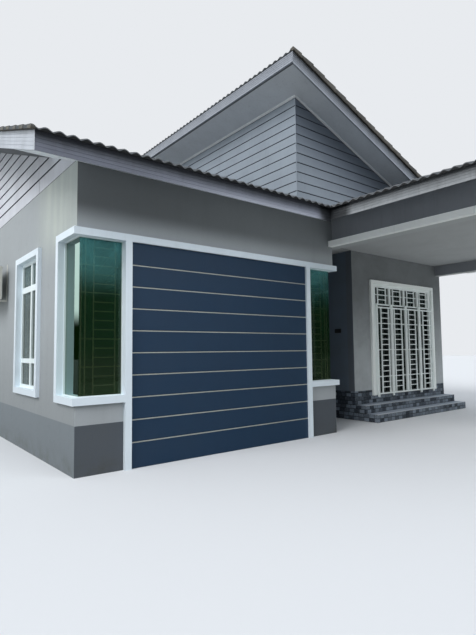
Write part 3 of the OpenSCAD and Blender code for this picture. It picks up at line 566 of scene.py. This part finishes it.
for finishName, nodeNames in finishNodes.items():
    for nodeName in nodeNames:
        mesh = nodes[nodeName].data
        mesh.materials.clear()
        mesh.materials.append(mats[finishName])


# Points from three coordinates, each of them a number or an array
def points3(x, y, z):
    return np.stack(np.broadcast_arrays(x, y, z), -1)


def stand(name, data):
    made = bpy.data.objects.new(name, data)
    bpy.context.scene.collection.objects.link(made)
    return made


# Closed shells gathered into one mesh; marks are kept on the points for the materials
class Shells:
    def __init__(self):
        self.points = []
        self.faces = []
        self.finishes = []
        self.marks = []
        self.count = 0

    def add(self, points, faces, finishIndex=0, marks=None):
        points = np.asarray(points, float).reshape(-1, 3)
        marks = np.zeros_like(points) if marks is None else np.asarray(marks, float).reshape(-1, 3)
        self.points.append(points)
        self.marks.append(marks)
        for group in faces:
            rows = (np.asarray(group) + self.count).tolist()
            self.faces.extend(rows)
            self.finishes.extend([finishIndex] * len(rows))
        self.count += len(points)

    def build(self, name, finishNames, stands=(), weld=False):
        mesh = bpy.data.meshes.new(name)
        mesh.from_pydata(np.concatenate(self.points).tolist(), [], self.faces)
        mesh.polygons.foreach_set("material_index", np.array(self.finishes, np.int32))
        mark = mesh.attributes.new("tileAt", "FLOAT_VECTOR", "POINT")
        mark.data.foreach_set("vector", np.concatenate(self.marks).astype(np.float32).ravel())
        for finishName in finishNames:
            mesh.materials.append(mats[finishName])
        work = bmesh.new()
        work.from_mesh(mesh)
        if weld:
            bmesh.ops.remove_doubles(work, verts=work.verts, dist=2e-5)
        bmesh.ops.recalc_face_normals(work, faces=work.faces)
        work.to_mesh(mesh)
        work.free()
        piece = stand(name, mesh)
        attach(piece, "root")
        if stands:
            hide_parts(*stands)
        triangles = sum(len(p.vertices) - 2 for p in mesh.polygons)
        print(f"{name}: {triangles} triangles")
        return piece


# Rings of points one after another, closed round and capped at both ends
def loft(rings):
    n, m = rings.shape[:2]
    at = np.arange(n * m).reshape(n, m)
    after = np.roll(at, -1, axis=1)
    quads = np.stack([at[:-1], after[:-1], after[1:], at[1:]], -1).reshape(-1, 4)
    return rings.reshape(-1, 3), [quads, at[:1], at[-1:, ::-1]]


# Chamfered blocks from low and high corners: four rings of eight points each, the lowest and the highest
# drawn in by the cut, the two between them at full width and a cut away from the ends
def blocks(low, high, cut):
    low, high = (np.atleast_2d(v).astype(float) for v in (low, high))
    n = len(low)
    side = np.array([[0, 0], [1, 0], [1, 0], [1, 1], [1, 1], [0, 1], [0, 1], [0, 0]])
    inset = np.array([[1, 0], [-1, 0], [0, 1], [0, -1], [-1, 0], [1, 0], [0, -1], [0, 1]])
    toward = np.where(side == 1, -1, 1)
    edge = np.where(side == 1, high[:, None, :2], low[:, None, :2])
    rings = []
    for top, drawnIn in ((0, 1), (0, 0), (1, 0), (1, 1)):
        flat = edge + inset * cut + toward * drawnIn * cut
        rise = high[:, 2] if top else low[:, 2]
        rise = rise + (0 if drawnIn else (-cut if top else cut))
        rings.append(points3(flat[..., 0], flat[..., 1], rise[:, None]))
    points = np.stack(rings, 1)  # block, ring, point, axis
    base = (np.arange(n) * 32)[:, None, None]
    faces = [(group + base).reshape(-1, group.shape[1]) for group in loft(points[0])[1]]
    return points.reshape(-1, 3), faces


# Roof tiles
# Height over the deck = pan + roll * (half a cosine wave across, sharpened) + lift that falls
# from the nose of a course to its head, so each course steps over the one below it.
def rollShape(u):
    wave = 0.5 + 0.5 * np.cos(2 * np.pi * u / tiles["roll"])
    return tiles["rollHeight"] * wave ** 0.75


# Rows of tiles from start to stop: level distance from the eave, share of the roll, height of the pan
def courseRows(start, stop, lip):
    pan, lift, gauge = tiles["pan"], tiles["lift"], tiles["gauge"]
    near = 1e-6
    first = math.floor(start / gauge + near)
    rows = [(start, 0, 0)]
    for k in range(first, math.ceil(stop / gauge)):
        nose, head = k * gauge, (k + 1) * gauge
        course = [(nose, pan + lift * 0.75), (nose + 0.005, pan + lift),
                  ((nose + head) / 2, pan + lift / 2), (head, pan)]
        for at, height in course:
            if at < start - near:
                continue
            if at > stop:
                rows.append((stop, 1, pan + lift * (1 - (stop - nose) / gauge)))
                break
            if at == nose and at < start + near and not lip:
                continue
            rows.append((at, 1, height))
        if k == first and start > nose + near:
            rows.insert(1, (start, 1, pan + lift * (1 - (start - nose) / gauge)))
    rows.append((stop, 0, 0))
    return np.array(rows)


# A field of tiles: u runs across the rolls, w is the level distance from the eave, bound(w) the ends of u
def tileField(shells, place, startW, stopW, bound, lip, phase):
    rows = courseRows(startW, stopW, lip)
    lowest = min(bound(w)[0] for w in (startW, stopW))
    highest = max(bound(w)[1] for w in (startW, stopW))
    count = int(round((highest - lowest) / tiles["roll"] * tiles["columns"])) + 1
    across = np.linspace(lowest, highest, count)
    w = np.repeat(rows[:, :1], count, 1)
    ends = np.array([bound(v) for v in rows[:, 0]])
    u = np.clip(across[None, :], ends[:, :1], ends[:, 1:])
    height = rows[:, 1:2] * rollShape(u - phase) + rows[:, 2:]
    at = np.arange(len(rows) * count).reshape(-1, count)
    quads = np.stack([at[:-1, :-1], at[:-1, 1:], at[1:, 1:], at[1:, :-1]], -1).reshape(-1, 4)
    underside = np.concatenate([at[0], at[-1, ::-1]])[None, :]
    faces = [quads, at[:, 0][None, :], at[:, -1][None, ::-1], underside]
    shells.add(place(u, w, height), faces, 0, points3(u - phase, w, height))


# Places on a roof, from u along its eave, w away from the eave and the height over the deck
def onRoof(under, eave, inward, alongY):
    def place(u, w, height):
        across = eave + inward * w
        x, y = (across, u) if alongY else (u, across)
        return points3(x, y, under(x, y) + deck + height)
    return place


onWingFront = onRoof(wingUnder, -overhang - tileOut, 1, False)
onWingBack = onRoof(wingUnder, backEave + tileOut, -1, False)
onUpper = onRoof(upperUnder, upperRight + upperTileOut, -1, True)
onPortLeft = onRoof(portUnder, portLeft - tileOut, 1, True)
onPortRight = onRoof(portUnder, portRight + tileOut, -1, True)


verge = vergeX - tileOut
valley = hallY + overhang + tileOut  # level distance from the eave to the inner end of the valley
wingRun = ridgeY + overhang + tileOut  # the same to the wing's ridge
wingPhase = -0.56  # a roll of the wing's tiles is centred here
shells = Shells()
tileField(shells, onWingFront, 0, valley, lambda w: (verge, portLeft - tileOut + w), True, wingPhase)
tileField(shells, onWingFront, valley, wingRun, lambda w: (verge, hallX), False, wingPhase)
tileField(shells, onWingBack, 0, wingRun, lambda w: (verge, hallX), True, wingPhase)
shells.build("wingTilesRolled", ["tiles"], ["wing_tiles"], True)

shells = Shells()
upperRun = upperRight - upperLeft + 2 * upperTileOut
upperPhase = upperFront - rakeOut + tiles["roll"] / 2
tileField(shells, onUpper, 0, upperRun, lambda w: (upperFront, upperBack), True, upperPhase)
shells.build("upperTilesRolled", ["tiles"], ["upper_tiles"])

shells = Shells()
portEnd = portFront - tileOut
portRun = portRidge - portLeft + tileOut
portPhase = portEnd + tiles["roll"] / 2
tileField(shells, onPortLeft, 0, valley, lambda w: (portEnd, w - overhang - tileOut), True, portPhase)
tileField(shells, onPortLeft, valley, portRun, lambda w: (portEnd, hallY), False, portPhase)
tileField(shells, onPortRight, 0, portRun, lambda w: (portEnd, hallY), True, portPhase)
shells.build("carportTilesRolled", ["tiles"], ["carport_tiles"], True)

# Rake tiles along the verges: a side with a rounded top, highest and furthest out at the nose of each
# course. Those of the upper roof are tall, and sink over the last stretch below its high end.
rake = {
    "round": 0.012, "taper": 0.008, "fall": 0.016, "drop": 0.5, "sink": 0.035,
    "tall": {"low": -0.010, "high": 0.110, "wide": 0.085},
    "plain": {"low": -0.002, "high": 0.047, "wide": 0.045},
    "plainOut": 0.004,
}


def rakeRow(shells, place, outer, inward, stop, kind):
    gauge, turn = tiles["gauge"], rake["round"]
    low, high, wide = (rake[kind][key] for key in ("low", "high", "wide"))
    tall = kind == "tall"
    into = np.array([0.004, 0.0, 0.0, turn * 0.3, turn, turn * 2, wide, wide])
    up = np.array([low, low + 0.004, high - turn, high - turn * 0.3, high, high, high - turn, 0.0])
    upper = np.array([0, 0, 1, 1, 1, 1, 1, 0])
    for nose in np.arange(0, stop - 0.02, gauge):
        head = min(nose + gauge, stop)
        start = nose if nose else -0.003
        along = np.array([start, nose + 0.004, (nose + head) / 2, head])[:, None]
        part = (along - nose) / gauge
        inset = into[None, :] + rake["taper"] * part
        inset[:, 6:] = wide
        fall = rake["fall"] * part
        height = up[None, :] - fall * upper + fall * (1 - upper) * (up < 0.0) * tall
        nearTop = np.clip((along - stop + rake["drop"]) / rake["drop"], 0, 1)
        height = height - tall * upper * nearTop * rake["sink"]
        points, faces = loft(place(outer + inward * inset, along, height))
        shells.add(points, faces, 0, points3(outer, along, 0.02 + 0.02 * upper))


shells = Shells()
rakeRow(shells, onUpper, upperFront - rakeOut, 1, upperRun, "tall")
rakeRow(shells, onUpper, upperBack + rakeOut, -1, upperRun, "tall")
rakeRow(shells, onWingFront, verge - rake["plainOut"], 1, wingRun, "plain")
rakeRow(shells, onWingBack, verge - rake["plainOut"], 1, wingRun, "plain")
rakeRow(shells, onPortLeft, portEnd - rake["plainOut"], 1, portRun, "plain")
rakeRow(shells, onPortRight, portEnd - rake["plainOut"], 1, portRun, "plain")
shells.build("rakeTiles", ["rake"])

# Ridge caps: a half round over a short upright skirt, whose radius swells to a lip at the end of each cap
caps = {"radius": 0.110, "length": 0.40, "lip": 0.05, "lipRise": 0.008, "skirt": 0.035, "rolled": 0.048}


def capRun(shells, place, length):
    full, lip = caps["radius"], caps["lip"]
    slim = full - caps["lipRise"]
    along, radius = [], []
    for s in np.arange(0, length - 0.05, caps["length"]):
        along += [s, s + 0.004, s + lip, s + lip + 0.004, min(s + caps["length"], length)]
        radius += [full - 0.004, full, full - 0.001, slim, slim - 0.004]
    angle = np.linspace(0, np.pi, 17)
    across = np.concatenate([[1.0], np.cos(angle), [-1.0]])
    up = np.concatenate([[0.0], np.sin(angle), [0.0]])
    drop = np.concatenate([[-caps["skirt"]], np.zeros(17), [-caps["skirt"]]])
    along, radius = np.array(along)[:, None], np.array(radius)[:, None]
    points, faces = loft(place(along, radius * across, radius * up + drop))
    shells.add(points, faces, 0, points3(along + 0 * across, 0.0, 0.03))


def onWingRidge(s, across, height):
    return points3(verge + s, ridgeY + across, wingUnder(verge, ridgeY) + ridgeLift + height)


def onPortRidge(s, across, height):
    return points3(portRidge + across, portEnd + s, portUnder(portRidge, portEnd) + ridgeLift + height)


ridgeLift = deck + caps["rolled"] - caps["radius"] * slope
shells = Shells()
capRun(shells, onWingRidge, hallX - verge)
capRun(shells, onPortRidge, hallY - portEnd)
shells.build("ridgeCapRow", ["tiles"], ["ridge_caps"])

# Fascia and barge boards: one grooved section swept along each run, mitred where runs meet
fascia = {"grooves": [0.21, 0.41, 0.61, 0.81], "wide": 0.011, "deep": 0.003}


def groovedSection(drop):
    out, up = [0.0, boardOut], [-drop, -drop]
    for g in fascia["grooves"]:
        middle, half = -drop + g * (deck + drop), fascia["wide"] / 2
        out += [boardOut, boardOut - fascia["deep"], boardOut - fascia["deep"], boardOut]
        up += [middle - half, middle - half * 0.4, middle + half * 0.4, middle + half]
    return np.array(out + [boardOut, 0.0]), np.array(up + [deck, deck])


# A section swept between two ends, each given as x, y and the way in x and y that its outer side moves
def swept(ends, out, up, under):
    rings = []
    for x, y, wayX, wayY in ends:
        x, y = x + wayX * out, y + wayY * out
        rings.append(points3(x, y, under(x, y) + up))
    return loft(np.array(rings))


def sweepBoard(shells, first, last, under, finishIndex=0, drop=0.0):
    out, up = groovedSection(drop)
    points, faces = swept((first, last), out, up, under)
    height = points3(0.0, 0.0, (up + drop) / (deck + drop))
    shells.add(points, faces, finishIndex, np.array([height, height]))


frontLeft, backLeft = (vergeX, -overhang, -1, -1), (vergeX, backEave, -1, 1)
peak, corner = (vergeX, ridgeY, -1, 0), (portLeft, -overhang, -1, -1)
shells = Shells()
sweepBoard(shells, frontLeft, corner, wingUnder, 1, boardDrop)
sweepBoard(shells, frontLeft, peak, wingUnder, 0, boardDrop)
sweepBoard(shells, peak, backLeft, wingUnder, 0, boardDrop)
sweepBoard(shells, backLeft, (hallX, backEave, 0, 1), wingUnder, 1, boardDrop)
shells.build("wingFasciaBoards", ["barge", "fascia"], ["wing_fascias"])

frontLeft, frontRight = (upperLeft, upperFront, -1, -1), (upperRight, upperFront, 1, -1)
backLeft, backRight = (upperLeft, upperBack, -1, 1), (upperRight, upperBack, 1, 1)
shells = Shells()
sweepBoard(shells, frontLeft, backLeft, upperUnder)
sweepBoard(shells, frontRight, backRight, upperUnder)
sweepBoard(shells, frontLeft, frontRight, upperUnder, 0, boardDrop)
sweepBoard(shells, backLeft, backRight, upperUnder, 0, boardDrop)
shells.build("upperFasciaBoards", ["upperBarge"], ["upper_fascias"])

frontLeft, frontRight = (portLeft, portFront, -1, -1), (portRight, portFront, 1, -1)
peak = (portRidge, portFront, 0, -1)
shells = Shells()
sweepBoard(shells, frontLeft, corner, portUnder)
sweepBoard(shells, frontLeft, peak, portUnder)
sweepBoard(shells, peak, frontRight, portUnder)
sweepBoard(shells, frontRight, (portRight, hallY, 1, 0), portUnder)
shells.build("carportFasciaBoards", ["portFascia"], ["carport_fascias"])

# Lapped boards: each section is thick at its foot and thin at its head, with an open shadow gap above it
lap = {"foot": 0.020, "head": 0.011, "gap": 0.011, "back": 0.004}


def lappedRow(shells, ends, low, high, place, thick=lap["foot"]):
    out = np.array([0.0, thick - 0.002, thick, min(thick, lap["head"]), 0.0])
    up = np.array([low, low, low + 0.003, high, high])
    rings = [place(np.array([ends(v)[side] for v in up]), out, up) for side in (0, 1)]
    shells.add(*loft(np.array(rings)))


def onGable(along, out, up):
    return points3(-out, along, up)


# Gable over the left wall, its boards cut to the roof's slopes and at three upright joints
gable = {
    "foot": 3.70, "step": 0.1805, "gap": 0.017, "firstThick": 0.006, "clear": 0.004,
    "joints": [-9.0, 1.52, 5.18, 8.84, 20.0], "half": 0.006, "leastLength": 0.02, "leastPoint": 0.05,
}
gableTop = wingUnder(vergeX, ridgeY)


def alongRake(v):
    return (v - eaveZ) / slope - overhang


shells = Shells()
for k in range(int((gableTop - gable["foot"]) / gable["step"]) + 1):
    low = gable["foot"] + k * gable["step"] + (gable["gap"] if k else 0)
    high = gable["foot"] + (k + 1) * gable["step"] + (0 if k else 0.006)
    high = min(high, gableTop - gable["clear"])
    thick = lap["foot"] if k else gable["firstThick"]
    if high - low < gable["leastLength"]:
        continue
    for before, after in zip(gable["joints"][:-1], gable["joints"][1:]):
        def ends(v, before=before, after=after):
            a = max(alongRake(v), before + gable["half"])
            b = min(backWall - alongRake(v), after - gable["half"])
            return (a, b) if b > a else ((a + b) / 2 - 0.002, (a + b) / 2 + 0.002)
        atLow, atHigh = (ends(v)[1] - ends(v)[0] for v in (low, high))
        if min(atLow, atHigh) > gable["leastLength"] or atLow > gable["leastPoint"]:
            lappedRow(shells, ends, low, high, onGable, thick)
foot = alongRake(gable["foot"])
# The dark sheet behind the boards, painted shade in the gaps
sheet = np.array([[foot, gable["foot"]], [backWall - foot, gable["foot"]], [ridgeY, gableTop]])
shells.add(*loft(np.array([onGable(sheet[:, 0], d, sheet[:, 1]) for d in (0.0, lap["back"])])), 1)
shells.build("gableBoards", ["gable", "shadeBacking"], ["gable_cladding"])

# Upper walls, round the corner from the left face to the front face, over a dark backing that is painted
# shade in the gaps between the boards
clad = {"step": 0.184, "rows": 16, "foot": 3.47, "backFoot": 3.46, "backTop": 6.236, "backLow": 4.415}
cladLeft, cladFront = 4.40, 0.70  # planes that the boards stand on
backLeft, backFront = 4.394, 0.694  # outer faces of the backing
shells = Shells()
for k in range(clad["rows"]):
    high = upperZ - k * clad["step"]
    low = clad["foot"] if k == clad["rows"] - 1 else high - clad["step"] + lap["gap"]
    soffit = upperZ if k else upperZ - 0.004
    lappedRow(shells, lambda v: (hallY + 0.003, backWall), low, high - 0.001,
              lambda along, out, up: points3(cladLeft - out, along, up))
    lappedRow(shells, lambda v: (hallX + 0.003, np.clip(hallX + (soffit - v) / slope, 4.386, rightWall)),
              low, high - 0.001, lambda along, out, up: points3(along, cladFront - out, up))
shells.add(*blocks((backLeft, backFront, clad["backFoot"]), (cladLeft, backWall, clad["backTop"]), 0.0005), 1)
face = np.array([[backLeft, clad["backFoot"]], [rightWall, clad["backFoot"]],
                 [rightWall, clad["backLow"]], [backLeft, clad["backTop"]]])
shells.add(*loft(np.array([points3(face[:, 0], y, face[:, 1]) for y in (backFront, cladFront)])), 1)
# Corner bead
shells.add(*blocks((hallX, hallY, clad["backFoot"]), (hallX + 0.012, hallY + 0.012, clad["backTop"]), 0.002))
shells.build("upperBoards", ["upper", "shadeBacking"], ["upper_cladding"])

# Pale bead where the upper walls meet the soffit, mitred at the corner
bead = {"wide": 0.024, "high": 0.030}
out = bead["wide"] * np.array([0, 1, 1, 0.35, 0])
down = -bead["high"] * np.array([0, 0, 0.45, 1, 1])
shells = Shells()
corner = (hallX, hallY, -1, -1)
for last in ((hallX, backWall, -1, 0), (rightWall, hallY, 0, -1)):
    shells.add(*swept((corner, last), out, down, upperUnder))
shells.build("soffitBead", ["bead"])

# Boarded panel: wide boards between pale strips, each strip under a narrow groove where the dark backing is
# painted shade
panel = {
    "left": 0.685, "right": 3.812, "top": 2.797, "first": 0.313, "pitch": 0.274, "count": 9,
    "strip": 0.013, "groove": 0.004, "boardOut": 0.018, "stripOut": 0.020, "inner": 0.004, "shadeBacking": 0.006,
}
strips = panel["first"] + panel["pitch"] * np.arange(panel["count"])
half = panel["strip"] / 2
lows = np.concatenate([[0.0], strips + half + panel["groove"]])
highs = np.concatenate([strips - half, [panel["top"]]])
shells = Shells()
shells.add(*blocks(points3(panel["left"], -panel["boardOut"], lows),
                   points3(panel["right"], -panel["inner"], highs), 0.0015))
shells.add(*blocks(points3(panel["left"], -panel["stripOut"], strips - half),
                   points3(panel["right"], -panel["inner"], strips + half), 0.001), 1)
shells.add(*blocks((panel["left"], -panel["shadeBacking"], 0.0), (panel["right"], 0.0, panel["top"]), 0.0005), 2)
shells.build("panelBoards", ["navy", "strip", "shadeBacking"], ["front_panel"])

# Steps: a core with riser and tread tiles laid on it, a tile on each end, and a row on the threshold's riser
edges = np.append(np.arange(steps["left"], steps["right"] - 0.05, steps["tile"]), steps["right"])
left, right = edges[:-1] + steps["joint"] / 2, edges[1:] - steps["joint"] / 2
thick, going = steps["thick"], steps["going"]
shells = Shells()
for k in range(2):
    y = steps["front"] + k * going
    low, high = k * steps["rise"], (k + 1) * steps["rise"]
    shells.add(*blocks((steps["left"] + 0.002, y + 0.003, low),
                       (steps["right"] - 0.002, hallY, high - 0.003), 0.001), 1)
    shells.add(*blocks(points3(left, y, high - thick), points3(right, y + going - 0.002, high), 0.003))
    shells.add(*blocks(points3(left, y + 0.002, low + 0.002),
                       points3(right, y + thick, high - thick - 0.002), 0.0015))
    ends = points3(np.array([steps["left"], steps["right"] - 0.003]), y + 0.004, low + 0.002)
    endSize = np.array([0.003, hallY - y - 0.006, steps["rise"] - thick - 0.004])
    shells.add(*blocks(ends, ends + endSize, 0.0008))
y = steps["front"] + 2 * going
low, high = 2 * steps["rise"], 3 * steps["rise"]
shells.add(*blocks(points3(left, y - 0.006, low + 0.002), points3(right, y + 0.001, high - 0.002), 0.0015))
shells.build("stepTiling", ["step", "fan"], ["lower_step", "upper_step"])

# Bars behind each casement window, drawn along the wall (a), inwards (d) and up (z)
casement = {
    "wide": 1.04, "bars": [0.13, 0.26, 0.39, 0.65, 0.78, 0.91], "firstRung": 1.02, "lastRung": 2.76,
    "rungPitch": 0.115, "foot": 0.895, "head": 2.805, "barDepth": 0.086, "thick": 0.012,
}

shells = Shells()
thick = casement["thick"]
bars = np.array(casement["bars"])
rungs = np.arange(casement["firstRung"], casement["lastRung"], casement["rungPitch"])
near, far = casement["barDepth"], casement["barDepth"] + thick  # rungs lie behind the bars
wide = casement["wide"]
low = np.concatenate([points3(bars - thick / 2, near, casement["foot"]), points3(-0.010, far, rungs)])
high = np.concatenate([points3(bars + thick / 2, far, casement["head"]),
                       points3(wide + 0.010, far + thick, rungs + thick)])
points, faces = blocks(low, high, 0.0015)
a, d, z = points.T
for start in (1.464, 6.464):
    shells.add(points3(d, start + wide - a, z), faces)
for start in (3.0, 6.7):
    shells.add(points3(rightWall - d, start + a, z), faces)
for start in (1.7, 6.3):
    shells.add(points3(start + wide - a, backWall - d, z), faces)
shells.build("casementBars", ["bars"])

# Fan guard of the outdoor unit: rings of round wire, eight spokes across them and a stepped hub
unit = {
    "face": -0.40, "centreY": 3.52, "centreZ": 2.605, "radius": 0.205, "wire": 0.0022,
    "firstRing": 0.055, "ringPitch": 0.0165, "spokes": 8,
}


def onFan(out, radius, angle):
    across = unit["centreY"] + radius * np.cos(angle)
    return points3(unit["face"] + out, across, unit["centreZ"] + radius * np.sin(angle))


shells = Shells()
angle = np.linspace(0, 2 * np.pi, 49)[:-1]
section = np.linspace(0, 2 * np.pi, 7)[:-1]
at = np.arange(len(angle) * len(section)).reshape(len(angle), -1)
after = np.roll(at, -1, 0)
ringFaces = np.stack([at, after, np.roll(after, -1, 1), np.roll(at, -1, 1)], -1).reshape(-1, 4)
for r in np.arange(unit["firstRing"], unit["radius"], unit["ringPitch"]):
    out = 0.005 + unit["wire"] * np.sin(section)
    shells.add(onFan(out, r + unit["wire"] * np.cos(section), angle[:, None]), [ringFaces])
for a in np.arange(unit["spokes"]) * 2 * np.pi / unit["spokes"]:
    sideways = np.array([0, -math.sin(a), math.cos(a)])
    round6 = np.cos(section)[:, None] * sideways + np.sin(section)[:, None] * np.array([1, 0, 0])
    rings = [onFan(0.009, r, a) + unit["wire"] * round6 for r in (0.050, unit["radius"] + 0.006)]
    shells.add(*loft(np.array(rings)))
hub = [onFan(out, r, angle) for out, r in ((0.0005, 0.040), (0.0005, 0.052), (0.010, 0.056), (0.012, 0.040))]
shells.add(*loft(np.array(hub)))
shells.build("fanGuard", ["case"])
print("pieces built")

# Sky: plain to the camera. Its light is brightest from the left and from a band in front, and dull low
# down elsewhere; mirrors show a pale sky on the left over dark green.
sky = {
    "seen": rgb(232, 235, 239), "low": (0.13, 0.14, 0.145, 1), "high": (0.60, 0.63, 0.67, 1),
    "open": (0.56, 0.59, 0.62, 1), "band": (2.35, 2.43, 2.52, 1),
    "mirrorLow": rgb(22, 40, 16), "mirrorHigh": rgb(178, 196, 202), "mirrorLeft": (2.3, 2.4, 2.4, 1),
}
scene = bpy.context.scene
world = bpy.data.worlds.new("softSky")
scene.world = world
world.use_nodes = True
tree = world.node_tree
background = tree.nodes["Background"]
seen, mirrored = cameraRays(tree)
toward = Sock(tree, tree.nodes.new("ShaderNodeTexCoord").outputs["Generated"])
eastward, northward, height = toward.split()
westSide = 1 - eastward.ramp(-0.45, -0.10)
openSide = westSide * northward.ramp(-1.00, -0.85)
light = openSide.mix(height.ramp(0.05, 0.50).mix(sky["low"], sky["high"]), sky["open"])
bandHeight = height.ramp(0.30, 0.46) * (1 - height.ramp(0.80, 0.95))
band = (0 - northward).ramp(0.20, 0.60) * bandHeight * (1 - westSide)
light = band.mix(light, sky["band"])
mirror = height.ramp(0.105, 0.165).mix(sky["mirrorLow"], sky["mirrorHigh"])
mirror = (westSide * height.ramp(0.05, 0.09)).mix(mirror, sky["mirrorLeft"])
put(tree, background.inputs["Color"], seen.mix(mirrored.mix(light, mirror), sky["seen"]))
background.inputs["Strength"].default_value = 1.0

# Floor: pale to the camera. What it throws back on the house is darker near the left wall and in front of
# the wing, paler towards the carport, and dark green in mirrors.
floorLook = {
    "seen": rgb(219, 221, 224), "mirror": rgb(52, 60, 50), "frontFar": rgb(126, 128, 126),
    "frontNear": rgb(168, 170, 168), "byPort": rgb(200, 202, 200), "underPort": rgb(234, 236, 234),
    "leftFar": rgb(220, 222, 220), "leftNear": rgb(124, 126, 124), "reach": 90.0,
}
reach = floorLook["reach"]
floorMesh = bpy.data.meshes.new("paleFloor")
floorCorners = [(-reach, -reach, 0), (reach, -reach, 0), (reach, reach, 0), (-reach, reach, 0)]
floorMesh.from_pydata(floorCorners, [], [(0, 1, 2, 3)])
floor = stand("paleFloor", floorMesh)
floorMat, place, feed = finish("floorPaint", Roughness=0.9, Specular_IOR_Level=0.1)
tree = floorMat.node_tree
seen, mirrored = cameraRays(tree)
x, y, z = place.split()
inFront = y.ramp(-1.7, -1.1).mix(floorLook["frontFar"], floorLook["frontNear"])
inFront = x.ramp(2.8, 4.2).mix(inFront, floorLook["byPort"])
inFront = x.ramp(4.6, 6.2).mix(inFront, floorLook["underPort"])
beside = x.ramp(-1.9, -1.4).mix(floorLook["leftFar"], floorLook["leftNear"])
shade = (x.ramp(-0.2, 0.1) + 1 - y.ramp(-5.5, -3.5)).least(1.0).mix(beside, inFront)
feed("Base Color", seen.mix(mirrored.mix(shade, floorLook["mirror"]), floorLook["seen"]))
floorMesh.materials.append(floorMat)

sun = {"energy": 2.0, "angle": 35, "toward": (-0.80, -0.14, 0.60)}
sunLight = bpy.data.lights.new("softSun", "SUN")
sunLight.energy = sun["energy"]
sunLight.angle = math.radians(sun["angle"])
sunObject = stand("softSun", sunLight)
sunObject.rotation_mode = "QUATERNION"
sunObject.rotation_quaternion = Vector(sun["toward"]).to_track_quat("Z", "Y")

# Camera stands where the picture was taken from: yaw, pitch and roll of its view in degrees
view = {"at": (-1.94, -5.454, 1.42), "yaw": 38.46, "pitch": 4.00, "roll": -0.64, "lens": 475.6 / 635 * 36}
yaw, pitch, roll = (math.radians(view[k]) for k in ("yaw", "pitch", "roll"))
lensData = bpy.data.cameras.new("mainCamera")
lensData.lens = view["lens"]
lensData.sensor_width = 36
lensData.clip_end = 400
camera = stand("mainCamera", lensData)
turned = Matrix.Rotation(-yaw, 4, "Z") @ Matrix.Rotation(math.pi / 2 + pitch, 4, "X")
camera.matrix_world = Matrix.Translation(view["at"]) @ turned @ Matrix.Rotation(roll, 4, "Z")
scene.camera = camera
scene.view_settings.view_transform = "Standard"
